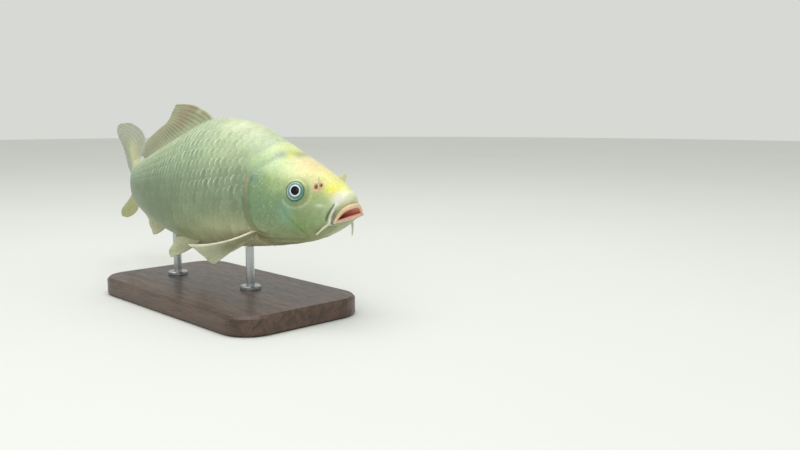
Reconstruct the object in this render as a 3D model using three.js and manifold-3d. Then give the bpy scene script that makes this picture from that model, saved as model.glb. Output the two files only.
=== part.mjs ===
// Koi carp, life size, held clear of a flat display stand by two short rods.
// Millimetres, Z up. The snout points to +X, the camera side of the fish is -Y.
//
// The fish is shaped straight first: t runs back from the snout, 0 at the upper lip and 1 at the end of
// the tail stalk, y runs to the fish's left and z up, all as shares of the body length. Every finished
// solid is then carried onto the curved spine by one function, bend().
import * as THREE from 'three';
import Module from 'manifold-3d';

const wasm = await Module();
wasm.setup();

// ---------------------------------------------------------------- driving sizes
const BODY_LENGTH = 350;        // snout to the end of the tail stalk
const HEAD_TURN = 13;           // degrees, heading of the head from +X
const TAIL_BEND = 38;           // degrees, how far the tail end turns from the head
const BEND_START = 0.2;         // t where the spine begins to curve
const BEND_POWER = 1.8;         // how late along the body the bend gathers
const SNOUT_HEIGHT = 94;        // snout above the underside of the stand
const CENTRE_T = 0.43;          // t that stands over the middle of the base
const GAP = 0.3;                // clearance between neighbouring solids
const AROUND = 32;              // facets around the body

const EYE_RADIUS = 7.6;
const EYE_FLATNESS = 0.6;       // depth of the eye against its width
const EYE_SUNK = 1.9;           // middle of the eye below the cheek
const EYE_T = 0.1395;
const EYE_ANGLE = 19.5;         // degrees up round the head
const COVER_THICKNESS = 3.2;    // gill cover
const FLAP_T = 0.0925;          // flap between the two nostrils of one side
const FLAP_SIDE = 0.040;
const FLAP_LEVEL = 0.045;
const FLAP_WIDTH = 0.019;
const FLAP_HEIGHT = 0.030;

const BASE_LENGTH = 236;
const BASE_WIDTH = 124;
const BASE_HEIGHT = 16;
const BASE_CORNER = 26;
const BASE_EDGE = 2;            // bevel
const ROD_RADIUS = 3.6;
const ROD_FOOT_RADIUS = 9;
const ROD_FOOT_HEIGHT = 3;
const ROD_T = [0.34, 0.63];

// Body rings: t, top, bottom, half width, level of greatest width, fullness above, fullness below.
const BODY = [
  [0.040, 0.041, -0.049, 0.044, 0.42, 2.3, 2.2],
  [0.070, 0.0600, -0.064, 0.053, 0.43, 2.3, 2.2],
  [0.110, 0.0820, -0.080, 0.062, 0.44, 2.3, 2.2],
  [0.160, 0.1065, -0.093, 0.071, 0.45, 2.2, 2.2],
  [0.220, 0.1375, -0.104, 0.081, 0.46, 2.1, 2.2],
  [0.290, 0.1730, -0.113, 0.090, 0.47, 2.0, 2.2],
  [0.370, 0.189, -0.120, 0.095, 0.47, 2.0, 2.2],
  [0.450, 0.188, -0.124, 0.094, 0.47, 2.0, 2.2],
  [0.540, 0.157, -0.121, 0.085, 0.48, 2.0, 2.1],
  [0.640, 0.122, -0.109, 0.069, 0.49, 2.0, 2.0],
  [0.740, 0.091, -0.090, 0.051, 0.50, 2.0, 2.0],
  [0.840, 0.066, -0.072, 0.034, 0.50, 2.0, 2.0],
  [0.930, 0.056, -0.063, 0.021, 0.50, 2.0, 2.0],
  [1.000, 0.060, -0.067, 0.009, 0.50, 2.0, 2.0],
];

// Mouth rim: forward place, height and lip radius at the middle of each lip and at the corners.
const UPPER_LIP = { x: -0.0214, z: 0.0027, r: 0.0060 };
const LOWER_LIP = { x: -0.0246, z: -0.0241, r: 0.0052 };
const MOUTH_CORNER = { x: -0.0415, z: -0.0285, r: 0.0044 };
const MOUTH_HALF_WIDTH = 0.0405;
const MOUTH_TURN = 13;          // degrees the mouth is turned to the fish's right
const MOUTH_ROLL = 9;           // degrees its left side is lifted
const MOUTH_PIVOT = new THREE.Vector3(-0.045, 0, -0.030);
const MOUTH_DEPTH = { x: -0.064, z: -0.031 };
const SNOUT_FULLNESS = 0.0095;  // swell of the snout above the upper lip

// Fins as key rays: [place along the fin, root, pull, tip], each point [t, y, z].
const DORSAL_RAYS = [
  [0.00, [0.443, 0, 0.179], [0.500, 0, 0.236], [0.624, 0, 0.222]],
  [0.12, [0.495, 0, 0.167], [0.556, 0, 0.200], [0.632, 0, 0.201]],
  [0.30, [0.565, 0, 0.138], [0.615, 0, 0.165], [0.655, 0, 0.178]],
  [0.55, [0.650, 0, 0.107], [0.695, 0, 0.134], [0.730, 0, 0.151]],
  [0.80, [0.735, 0, 0.082], [0.770, 0, 0.108], [0.797, 0, 0.121]],
  [1.00, [0.800, 0, 0.066], [0.835, 0, 0.085], [0.862, 0, 0.080]],
];
const ANAL_RAYS = [
  [0.00, [0.675, 0, -0.093], [0.725, 0, -0.130], [0.780, 0, -0.134]],
  [0.35, [0.715, 0, -0.084], [0.755, 0, -0.112], [0.795, 0, -0.114]],
  [0.70, [0.752, 0, -0.076], [0.785, 0, -0.098], [0.812, 0, -0.095]],
  [1.00, [0.788, 0, -0.066], [0.815, 0, -0.084], [0.838, 0, -0.082]],
];
const CAUDAL_UPPER_RAYS = [
  [0.0, [0.968, 0, 0.050], [1.076, 0.084, 0.144], [1.236, -0.028, 0.175]],
  [0.3, [0.980, 0, 0.042], [1.083, 0.026, 0.101], [1.230, -0.042, 0.139]],
  [0.6, [0.990, 0, 0.030], [1.070, -0.004, 0.056], [1.165, -0.026, 0.078]],
  [1.0, [0.992, 0, 0.001], [1.030, -0.002, 0.001], [1.072, -0.006, 0.001]],
];
const CAUDAL_LOWER_RAYS = [
  [0.0, [0.968, 0, -0.056], [1.080, 0.020, -0.114], [1.238, -0.037, -0.144]],
  [0.3, [0.980, 0, -0.048], [1.075, -0.004, -0.084], [1.228, -0.040, -0.119]],
  [0.6, [0.990, 0, -0.032], [1.055, -0.004, -0.048], [1.155, -0.014, -0.065]],
  [1.0, [0.992, 0, -0.001], [1.030, -0.002, -0.001], [1.072, -0.006, -0.001]],
];
const PECTORAL_RAYS = [
  [0.00, [0.255, 0.062, -0.061], [0.330, 0.108, -0.106], [0.410, 0.138, -0.100]],
  [0.25, [0.260, 0.061, -0.066], [0.322, 0.100, -0.106], [0.388, 0.127, -0.113]],
  [0.50, [0.266, 0.059, -0.072], [0.315, 0.090, -0.104], [0.371, 0.113, -0.136]],
  [0.72, [0.271, 0.057, -0.077], [0.309, 0.080, -0.106], [0.352, 0.102, -0.147]],
  [0.88, [0.275, 0.055, -0.082], [0.296, 0.072, -0.100], [0.322, 0.092, -0.123]],
  [1.00, [0.279, 0.052, -0.086], [0.287, 0.066, -0.098], [0.300, 0.084, -0.109]],
];
const PELVIC_RAYS = [
  [0.00, [0.452, 0.034, -0.098], [0.520, 0.044, -0.150], [0.602, 0.040, -0.170]],
  [0.35, [0.472, 0.032, -0.098], [0.535, 0.042, -0.138], [0.606, 0.038, -0.154]],
  [0.70, [0.492, 0.030, -0.098], [0.542, 0.038, -0.124], [0.590, 0.036, -0.131]],
  [1.00, [0.512, 0.027, -0.097], [0.542, 0.032, -0.110], [0.572, 0.034, -0.112]],
];
const FAR_FIN_LIFT = { pectoral: 0.030, pelvic: 0.012 };

// Feelers at the mouth corner and on the upper lip: root, pull and tip as [t, y, z], then the two radii.
const LOWER_BARBELS = {
  left: [[0.062, 0.040, -0.037], [0.064, 0.050, -0.052], [0.066, 0.047, -0.075], 1.2, 0.6],
  right: [[0.062, 0.040, -0.037], [0.070, 0.050, -0.043], [0.092, 0.052, -0.0635], 1.2, 0.6],
};
const UPPER_BARBEL = [[0.047, 0.035, 0.001], [0.0515, 0.042, -0.008], [0.0565, 0.046, -0.0215], 1.0, 0.6];

// Gill cover outline seen from the side, [t, z], and the cut that frees the lower jaw.
const COVER_OUTLINE = [
  [0.190, 0.062], [0.228, 0.094], [0.262, 0.082], [0.275, 0.024], [0.272, -0.046],
  [0.248, -0.079], [0.190, -0.083], [0.132, -0.076], [0.138, -0.054], [0.172, -0.006],
];
const JAW_OUTLINE = [
  [-0.050, 0.0080], [0.022, -0.0112], [0.031, -0.0168], [0.036, -0.0195], [0.0446, -0.0278],
  [0.0507, -0.0340], [0.064, -0.0470], [0.084, -0.0600], [0.150, -0.0900],
  [0.140, -0.140], [-0.050, -0.140],
];

// ---------------------------------------------------------------- curves
const rad = THREE.MathUtils.degToRad;

function smooth(from, to, x) {
  const u = Math.min(1, Math.max(0, (x - from) / (to - from)));
  return u * u * (3 - 2 * u);
}

// Smooth curve through (xs, ys), read at x.
function curve(xs, ys, x) {
  const last = xs.length - 1;
  const slope = (k) => (ys[k + 1] - ys[k]) / (xs[k + 1] - xs[k]);
  const tangent = (k) => {
    if (k === 0) return slope(0);
    if (k === last) return slope(last - 1);
    const before = xs[k] - xs[k - 1];
    const after = xs[k + 1] - xs[k];
    return (slope(k - 1) * after + slope(k) * before) / (before + after);
  };
  let i = 0;
  while (i < last - 1 && x >= xs[i + 1]) i += 1;
  const h = xs[i + 1] - xs[i];
  const u = (x - xs[i]) / h;
  const u2 = u * u;
  const u3 = u2 * u;
  return (2 * u3 - 3 * u2 + 1) * ys[i] + (u3 - 2 * u2 + u) * h * tangent(i)
    + (3 * u2 - 2 * u3) * ys[i + 1] + (u3 - u2) * h * tangent(i + 1);
}

const STATION = BODY.map((row) => row[0]);
const COLUMN = [1, 2, 3, 4, 5, 6].map((k) => BODY.map((row) => row[k]));

const signedPower = (v, p) => Math.sign(v) * Math.abs(v) ** p;

// One point of the body ring at t, at angle v (0 on the fish's left, 90 degrees on the back).
function bodyPoint(t, v, extra = 0) {
  const at = Math.min(1, Math.max(STATION[0], t));
  const [top, bottom, half, level, above, below] = COLUMN.map((ys) => curve(STATION, ys, at));
  const middle = bottom + (top - bottom) * level;
  const c = Math.cos(v);
  const s = Math.sin(v);
  const power = 2 / (s >= 0 ? above : below);
  const height = s >= 0 ? top - middle : middle - bottom;
  const front = 1 - smooth(0.03, 0.15, t);      // cheeks sweep back round the mouth
  const y = (half + extra) * signedPower(c, power);
  const z = middle + (height + extra) * signedPower(s, power) - 0.018 * front * c * c;
  const x = -(t + 0.042 * front * c * c + (s < 0 ? 0.01 * front * s * s : 0));
  return new THREE.Vector3(x, y, z);
}

const UPRIGHT = new THREE.Vector3(0, 0, 1);
const FORWARD = new THREE.Vector3(1, 0, 0);

// Centre line of the lips at angle v, with the lip radius there.
function mouthRim(v) {
  const c = Math.cos(v);
  const upper = Math.sin(v) >= 0;
  const lip = upper ? UPPER_LIP : LOWER_LIP;
  const front = 1 - c * c;
  const level = 1 - Math.abs(c) ** (upper ? 2.9 : 2.3);
  const at = new THREE.Vector3(
    lip.x * front + MOUTH_CORNER.x * (1 - front),
    MOUTH_HALF_WIDTH * c,
    MOUTH_CORNER.z + (lip.z - MOUTH_CORNER.z) * level,
  ).sub(MOUTH_PIVOT);
  at.applyAxisAngle(UPRIGHT, -rad(MOUTH_TURN)).applyAxisAngle(FORWARD, rad(MOUTH_ROLL)).add(MOUTH_PIVOT);
  return { at, radius: lip.r * front + MOUTH_CORNER.r * (1 - front) };
}

// Point on the rolled lip: turn 0 looks outward from the mouth, 90 forward, 180 into the mouth.
function lipPoint(v, turn, extra = 0) {
  const rim = mouthRim(v);
  const along = mouthRim(v + 0.001).at.sub(mouthRim(v - 0.001).at).normalize();
  const out = new THREE.Vector3(0, Math.cos(v), Math.sin(v));
  out.addScaledVector(along, -along.dot(out)).normalize();
  const forward = new THREE.Vector3().crossVectors(out, along);
  const r = rim.radius + extra;
  return rim.at.addScaledVector(out, r * Math.cos(rad(turn))).addScaledVector(forward, r * Math.sin(rad(turn)));
}

// Rings that make the mouth: from deep inside, round the lips, to the snout.
function mouthRings(extra = 0) {
  const rings = [];
  for (const share of [0.45]) {
    rings.push((v) => {
      const rim = mouthRim(v).at;
      return new THREE.Vector3(
        MOUTH_DEPTH.x + (rim.x - MOUTH_DEPTH.x) * share,
        rim.y * share * 0.9,
        MOUTH_DEPTH.z + (rim.z - MOUTH_DEPTH.z) * share,
      );
    });
  }
  for (const turn of [190, 140, 95, 50, 5]) rings.push((v) => lipPoint(v, turn, extra));
  rings.push((v) => {
    const full = SNOUT_FULLNESS * Math.max(0, Math.sin(v)) ** 2;
    const out = new THREE.Vector3(0.7, Math.cos(v), Math.sin(v)).normalize();
    return lipPoint(v, 0, extra).lerp(bodyPoint(0.045, v, extra), 0.38).addScaledVector(out, full);
  });
  return rings;
}

const bodyRings = (from, to, count, extra = 0) => Array.from({ length: count + 1 }, (_, i) => {
  const t = from + ((to - from) * i) / count;
  return (v) => bodyPoint(t, v, extra);
});

// ---------------------------------------------------------------- solids
function solidFrom(points, triangles) {
  const vertProperties = new Float32Array(points.length * 3);
  points.forEach((p, i) => vertProperties.set([p.x, p.y, p.z], 3 * i));
  const mesh = new wasm.Mesh({ numProp: 3, vertProperties, triVerts: new Uint32Array(triangles.flat()) });
  const solid = new wasm.Manifold(mesh);
  return solid.volume() < 0 ? solidFrom(points, triangles.map(([a, b, c]) => [a, c, b])) : solid;
}

// Skin over a run of rings, closed by a point at each end; sizes leave here in millimetres.
function loft(rings, around = AROUND) {
  const points = [];
  const triangles = [];
  const rows = rings.map((ring) => Array.from({ length: around }, (_, j) => ring((2 * Math.PI * j) / around)));
  rows.flat().forEach((p) => points.push(p.multiplyScalar(BODY_LENGTH)));
  for (let i = 0; i + 1 < rows.length; i += 1) {
    for (let j = 0; j < around; j += 1) {
      const a = i * around + j;
      const b = i * around + ((j + 1) % around);
      triangles.push([a, b, a + around], [b, b + around, a + around]);
    }
  }
  for (const end of [0, rows.length - 1]) {
    const middle = new THREE.Vector3();
    rows[end].forEach((p) => middle.addScaledVector(p, 1 / around));
    points.push(middle);
    for (let j = 0; j < around; j += 1) {
      const a = end * around + j;
      const b = end * around + ((j + 1) % around);
      triangles.push(end ? [a, b, points.length - 1] : [b, a, points.length - 1]);
    }
  }
  return solidFrom(points, triangles);
}

// Plate with thickness over a grid of points: place(a, b) and thickness(a, b), a and b from 0 to 1.
function plate(place, thickness, across, out) {
  const points = [];
  const triangles = [];
  const step = 0.004;
  const grid = [1, -1].map((side) => {
    const rows = [];
    for (let i = 0; i <= across; i += 1) {
      for (let j = 0; j <= out; j += 1) {
        const a = i / across;
        const b = j / out;
        const da = place(Math.min(1, a + step), b).sub(place(Math.max(0, a - step), b));
        const db = place(a, Math.min(1, b + step)).sub(place(a, Math.max(0, b - step)));
        const normal = da.cross(db).normalize();
        rows.push(points.length);
        points.push(place(a, b).multiplyScalar(BODY_LENGTH).addScaledVector(normal, (side * thickness(a, b)) / 2));
      }
    }
    return rows;
  });
  const id = (side, i, j) => grid[side][i * (out + 1) + j];
  const quad = (a, b, c, d) => triangles.push([a, b, c], [a, c, d]);
  for (let i = 0; i < across; i += 1) {
    for (let j = 0; j < out; j += 1) {
      quad(id(0, i, j), id(0, i + 1, j), id(0, i + 1, j + 1), id(0, i, j + 1));
      quad(id(1, i, j), id(1, i, j + 1), id(1, i + 1, j + 1), id(1, i + 1, j));
    }
    quad(id(0, i, 0), id(1, i, 0), id(1, i + 1, 0), id(0, i + 1, 0));
    quad(id(0, i, out), id(0, i + 1, out), id(1, i + 1, out), id(1, i, out));
  }
  for (let j = 0; j < out; j += 1) {
    quad(id(0, 0, j), id(0, 0, j + 1), id(1, 0, j + 1), id(1, 0, j));
    quad(id(0, across, j), id(1, across, j), id(1, across, j + 1), id(0, across, j + 1));
  }
  return solidFrom(points, triangles);
}

// Point on a fin: a along the root, b from root to edge, from its key rays.
function finPoint(rays, a, b, options = {}) {
  const places = rays.map((ray) => ray[0]);
  const at = a * places[places.length - 1];
  const read = (k) => [0, 1, 2].map((n) => curve(places, rays.map((ray) => ray[k][n]), at));
  const [root, pull, tip] = [1, 2, 3].map(read);
  const reach = b * (1 - (options.rounding ?? 0.05) * Math.max(0, 1 - a / 0.15) ** 2);
  const p = [0, 1, 2].map((n) => (1 - reach) ** 2 * root[n] + 2 * reach * (1 - reach) * pull[n] + reach ** 2 * tip[n]);
  const side = options.side ?? 1;
  const lift = (options.lift ?? 0) * (1 - a ** 2) * reach;     // the trailing rays stay low
  return new THREE.Vector3(-p[0], side * p[1], p[2] + lift);
}

function fin(rays, across, out, rootThickness, edgeThickness, options = {}) {
  const place = (a, b) => finPoint(rays, a, b, options);
  const thickness = (a, b) => rootThickness + (edgeThickness - rootThickness) * b;
  return plate(place, thickness, across, out);
}

// Flattened eyeball set in the cheek, facing straight out of it.
function eyeBall(side, grow = 0) {
  const angle = side > 0 ? rad(EYE_ANGLE) : Math.PI - rad(EYE_ANGLE);
  const at = bodyPoint(EYE_T, angle);
  const back = bodyPoint(EYE_T + 0.002, angle).sub(bodyPoint(EYE_T - 0.002, angle));
  const round = bodyPoint(EYE_T, angle + 0.01).sub(bodyPoint(EYE_T, angle - 0.01));
  const out = back.cross(round).normalize();
  if (out.y * side < 0) out.negate();
  const geometry = new THREE.IcosahedronGeometry(1, 2);
  geometry.scale(EYE_RADIUS + grow, EYE_RADIUS + grow, EYE_RADIUS * EYE_FLATNESS + grow);
  geometry.applyQuaternion(new THREE.Quaternion().setFromUnitVectors(new THREE.Vector3(0, 0, 1), out));
  const middle = at.multiplyScalar(BODY_LENGTH).addScaledVector(out, -EYE_SUNK);
  return fromGeometry(geometry).translate(middle.toArray());
}

// Tapered round feeler through three points, or the hole it stands in when grown.
function feeler([root, pull, tip, rootRadius, tipRadius], side, grow = 0) {
  const flip = (p) => new THREE.Vector3(-p[0], side * p[1], p[2]);
  const line = new THREE.QuadraticBezierCurve3(flip(root), flip(pull), flip(tip));
  line.v0.addScaledVector(line.getTangent(0), -grow / BODY_LENGTH);
  const rings = Array.from({ length: 6 }, (_, i) => {
    const b = i / 5;
    const along = line.getTangent(b);
    const u = new THREE.Vector3(0, 1, 0).cross(along).normalize();
    const w = new THREE.Vector3().crossVectors(along, u);
    const r = (rootRadius + (tipRadius - rootRadius) * b + grow) / BODY_LENGTH;
    return (v) => line.getPoint(b).addScaledVector(u, r * Math.cos(v)).addScaledVector(w, r * Math.sin(v));
  });
  return loft(rings, 7);
}

// Rounded flap standing between the nostrils of one side, or the slot it stands in when grown.
function nostrilFlap(side, grow = 0) {
  const spare = grow / BODY_LENGTH;
  const place = (a, b) => {
    const turn = Math.PI * (0.06 + 0.88 * a);
    const along = -(0.5 * FLAP_WIDTH + spare) * Math.cos(turn) * (0.7 + 0.3 * b);
    const rise = FLAP_HEIGHT * Math.sin(turn) ** 0.6 * b - 0.006 - spare;
    return new THREE.Vector3(
      -FLAP_T + 0.545 * along + 0.25 * rise,
      side * (FLAP_SIDE + 0.839 * along + 0.30 * rise),
      FLAP_LEVEL + 0.92 * rise,
    );
  };
  return plate(place, () => 0.9 + 2 * grow, 6, 2);
}

// Straight-sided block across one side of the fish, outlined in side view and grown by extra.
function sideBlock(outline, from, to, extra = 0, rounded = true) {
  const corners = outline.map(([t, z]) => new THREE.Vector3(-t * BODY_LENGTH, 0, z * BODY_LENGTH));
  const line = rounded ? new THREE.CatmullRomCurve3(corners, true).getPoints(22).slice(0, -1) : corners;
  const middle = new THREE.Vector3();
  line.forEach((p) => middle.addScaledVector(p, 1 / line.length));
  const shape = new THREE.Shape(line.map((p, i) => {
    const before = line[(i + line.length - 1) % line.length];
    const after = line[(i + 1) % line.length];
    const along = after.clone().sub(before).normalize();
    const out = new THREE.Vector2(-along.z, along.x);
    if (out.x * (p.x - middle.x) + out.y * (p.z - middle.z) < 0) out.negate();
    return new THREE.Vector2(p.x + out.x * extra, p.z + out.y * extra);
  }));
  const block = fromGeometry(new THREE.ExtrudeGeometry(shape, { depth: to - from, bevelEnabled: false }));
  return block.rotate([90, 0, 0]).translate([0, to, 0]);
}

function fromGeometry(geometry) {
  const flat = geometry.index ? geometry.toNonIndexed() : geometry;
  const seen = new Map();
  const points = [];
  const position = flat.getAttribute('position');
  const index = Array.from({ length: position.count }, (_, i) => {
    const p = new THREE.Vector3().fromBufferAttribute(position, i);
    const key = p.toArray().map((n) => Math.round(n * 1e4)).join(' ');
    if (!seen.has(key)) {
      seen.set(key, points.length);
      points.push(p);
    }
    return seen.get(key);
  });
  const triangles = [];
  for (let i = 0; i < index.length; i += 3) {
    const [a, b, c] = index.slice(i, i + 3);
    if (a !== b && b !== c && c !== a) triangles.push([a, b, c]);
  }
  return solidFrom(points, triangles);
}

// ---------------------------------------------------------------- spine
const SPINE = (() => {
  const table = [];
  const step = 0.002;
  const place = new THREE.Vector2(0, 0);
  const headingAt = (t) => {
    const u = Math.min(1, Math.max(0, (t - BEND_START) / (1 - BEND_START)));
    return rad(HEAD_TURN) - rad(TAIL_BEND) * u ** BEND_POWER;
  };
  for (let i = 0; i * step <= 1.3; i += 1) {
    const heading = headingAt(i * step);
    table.push({ heading, place: place.clone() });
    const middle = headingAt((i + 0.5) * step);
    place.x -= step * Math.cos(middle);
    place.y -= step * Math.sin(middle);
  }
  return { step, table };
})();

function spineAt(t) {
  const i = Math.min(SPINE.table.length - 2, Math.max(0, Math.floor(t / SPINE.step)));
  const share = t / SPINE.step - i;
  const [a, b] = [SPINE.table[i], SPINE.table[i + 1]];
  return {
    heading: a.heading + (b.heading - a.heading) * share,
    place: a.place.clone().lerp(b.place, share),
  };
}

const CENTRE = spineAt(CENTRE_T).place;

// Straight fish to its place over the stand, millimetres in and out.
function bend([x, y, z]) {
  const { heading, place } = spineAt(-x / BODY_LENGTH);
  return [
    (place.x - CENTRE.x) * BODY_LENGTH - y * Math.sin(heading),
    (place.y - CENTRE.y) * BODY_LENGTH + y * Math.cos(heading),
    z + SNOUT_HEIGHT,
  ];
}

// ---------------------------------------------------------------- build
const group = new THREE.Group();
group.name = 'koi_carp';

function add(name, solid, color, roughness, bent = true) {
  const { vertProperties, triVerts, numProp } = solid.getMesh();
  const position = [];
  for (let i = 0; i < vertProperties.length; i += numProp) {
    const p = [vertProperties[i], vertProperties[i + 1], vertProperties[i + 2]];
    position.push(...(bent ? bend(p) : p));
  }
  const geometry = new THREE.BufferGeometry();
  geometry.setAttribute('position', new THREE.Float32BufferAttribute(position, 3));
  geometry.setIndex([...triVerts]);
  geometry.computeVertexNormals();
  const mesh = new THREE.Mesh(geometry, new THREE.MeshStandardMaterial({ color, roughness }));
  mesh.name = name;
  group.add(mesh);
}

const SKIN = 0xb5cca7;
const FIN = 0xaab08a;
const extra = GAP / BODY_LENGTH;
const HEAD_END = 0.286;
const headSolid = (grow) => loft([...mouthRings(grow), ...bodyRings(0.045, HEAD_END, 9, grow)]);
const bodyGrown = loft(bodyRings(0.05, 1.0, 38, extra));

// Head with its eye sockets, the two gill covers and the lower jaw parted from it.
let head = headSolid(0);
const headCore = loft(bodyRings(0.055, HEAD_END, 9, -COVER_THICKNESS / BODY_LENGTH));
for (const [side, word] of [[1, 'left'], [-1, 'right']]) {
  for (const [name, shape] of [['lower', LOWER_BARBELS[word]], ['upper', UPPER_BARBEL]]) {
    head = head.subtract(feeler(shape, side, GAP));
    add(`barbel_${name}_${word}`, feeler(shape, side), 0xcbc9a2, 0.5);
  }
  head = head.subtract(nostrilFlap(side, GAP));
  add(`nostril_flap_${word}`, nostrilFlap(side), 0xb9c9b4, 0.5);
  head = head.subtract(eyeBall(side, GAP));
  add(`eye_${word}`, eyeBall(side), 0x9fb0a8, 0.15);

  const [inner, outer] = [0.022 * BODY_LENGTH, 0.12 * BODY_LENGTH];
  const reach = side > 0 ? [inner, outer] : [-outer, -inner];
  const cover = sideBlock(COVER_OUTLINE, ...reach).subtract(headCore);
  add(`gill_cover_${word}`, head.intersect(cover), 0x8ba87f, 0.45);
  const coreGrown = loft(bodyRings(0.055, HEAD_END + 0.01, 9, -(COVER_THICKNESS + GAP) / BODY_LENGTH));
  head = head.subtract(sideBlock(COVER_OUTLINE, ...reach, GAP).subtract(coreGrown));
}
const wide = 0.13 * BODY_LENGTH;
add('lower_jaw', head.intersect(sideBlock(JAW_OUTLINE, -wide, wide, 0, false)), 0xd9c79d, 0.45);
head = head.subtract(sideBlock(JAW_OUTLINE, -wide, wide, GAP, false));
add('head', head, 0xdde497, 0.45);

// Trunk and tail stalk, end to end.
const cuts = [HEAD_END, 0.43, 0.69, 1.0];
const lengths = [['trunk_front', 5], ['trunk_rear', 10], ['tail_stalk', 10]];
lengths.forEach(([name, count], i) => {
  add(name, loft(bodyRings(cuts[i] + extra, cuts[i + 1], count)), SKIN, 0.45);
});

// Fins, each rooted a hair clear of the body.
const rooted = (name, solid) => add(name, solid.subtract(bodyGrown), FIN, 0.5);
rooted('dorsal_fin', fin(DORSAL_RAYS, 16, 4, 2.6, 1.0, { rounding: 0.06 }));
rooted('anal_fin', fin(ANAL_RAYS, 8, 3, 2.4, 1.0, { rounding: 0.06 }));
rooted('caudal_fin_upper', fin(CAUDAL_UPPER_RAYS, 11, 5, 2.6, 1.0, { rounding: 0.14 }));
rooted('caudal_fin_lower', fin(CAUDAL_LOWER_RAYS, 11, 5, 2.6, 1.0, { rounding: 0.14 }));
for (const [side, word] of [[1, 'left'], [-1, 'right']]) {
  const lift = side > 0 ? FAR_FIN_LIFT : { pectoral: 0, pelvic: 0 };
  rooted(`pectoral_fin_${word}`, fin(PECTORAL_RAYS, 10, 4, 2.4, 1.0, { side, lift: lift.pectoral }));
  rooted(`pelvic_fin_${word}`, fin(PELVIC_RAYS, 8, 4, 2.2, 1.0, { side, lift: lift.pelvic }));
}

// Stand: a flat rounded base and two upright rods, each on a low foot.
const outline = new THREE.Shape();
const [halfLength, halfWidth] = [BASE_LENGTH / 2 - BASE_EDGE, BASE_WIDTH / 2 - BASE_EDGE];
const corner = BASE_CORNER - BASE_EDGE;
outline.absarc(halfLength - corner, halfWidth - corner, corner, 0, Math.PI / 2);
outline.absarc(corner - halfLength, halfWidth - corner, corner, Math.PI / 2, Math.PI);
outline.absarc(corner - halfLength, corner - halfWidth, corner, Math.PI, 1.5 * Math.PI);
outline.absarc(halfLength - corner, corner - halfWidth, corner, 1.5 * Math.PI, 2 * Math.PI);
const slab = new THREE.ExtrudeGeometry(outline, {
  depth: BASE_HEIGHT - 2 * BASE_EDGE,
  bevelThickness: BASE_EDGE,
  bevelSize: BASE_EDGE,
  bevelSegments: 1,
  curveSegments: 5,
});
add('stand_base', fromGeometry(slab).translate([0, 0, BASE_EDGE]), 0x2b2420, 0.5, false);

ROD_T.forEach((t, i) => {
  const profile = [
    [0, 0], [ROD_FOOT_RADIUS, 0], [ROD_FOOT_RADIUS, ROD_FOOT_HEIGHT - 0.8],
    [ROD_FOOT_RADIUS - 0.8, ROD_FOOT_HEIGHT], [ROD_RADIUS, ROD_FOOT_HEIGHT],
    [ROD_RADIUS, SNOUT_HEIGHT - BASE_HEIGHT - 0.09 * BODY_LENGTH], [0, SNOUT_HEIGHT - BASE_HEIGHT - 0.09 * BODY_LENGTH],
  ].map(([r, h]) => new THREE.Vector2(r, h));
  const rod = fromGeometry(new THREE.LatheGeometry(profile, 16)).rotate([90, 0, 0]);
  const foot = BASE_HEIGHT + GAP - SNOUT_HEIGHT;
  add(`stand_rod_${i ? 'rear' : 'front'}`, rod.translate([-t * BODY_LENGTH, 0, foot]).subtract(bodyGrown), 0xb8bcc0, 0.3);
});

export default group;
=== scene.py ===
"""Koi carp, life size, on a plain display stand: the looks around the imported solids.

The fish is shaped straight first, as the solids are: t runs back from the snout, 0 at the upper lip and 1 at
the end of the tail stalk, y runs to the fish's left and z up, all as shares of the body length. to_row() then
carries every point onto the curved spine, in metres.
"""

import math

import bpy
import numpy as np
from mathutils import Matrix, Vector


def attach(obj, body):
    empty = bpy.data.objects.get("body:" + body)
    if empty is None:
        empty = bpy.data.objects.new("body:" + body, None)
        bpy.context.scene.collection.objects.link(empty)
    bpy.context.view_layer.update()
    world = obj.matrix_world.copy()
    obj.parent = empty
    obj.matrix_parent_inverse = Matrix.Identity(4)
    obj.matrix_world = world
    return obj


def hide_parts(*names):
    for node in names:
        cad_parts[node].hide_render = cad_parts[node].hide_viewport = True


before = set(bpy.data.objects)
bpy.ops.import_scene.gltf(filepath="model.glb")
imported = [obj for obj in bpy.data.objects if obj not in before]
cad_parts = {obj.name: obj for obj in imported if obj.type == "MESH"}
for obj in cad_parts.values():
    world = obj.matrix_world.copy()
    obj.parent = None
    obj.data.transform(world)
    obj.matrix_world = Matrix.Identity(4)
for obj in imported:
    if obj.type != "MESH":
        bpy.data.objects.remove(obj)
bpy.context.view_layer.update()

# ---------------------------------------------------------------- driving sizes, as the solids have them
LENGTH = 350.0                  # snout to the end of the tail stalk, mm
HEAD_TURN = 13.0                # degrees, heading of the head from +X
TAIL_BEND = 38.0                # degrees, how far the tail end turns from the head
BEND_START = 0.2
BEND_POWER = 1.8
SNOUT_HEIGHT = 94.0
CENTRE_T = 0.43

EYE_RADIUS = 7.6
EYE_FLATNESS = 0.6
EYE_SUNK = 1.9
EYE_T = 0.1395
EYE_ANGLE = math.radians(19.5)

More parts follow.
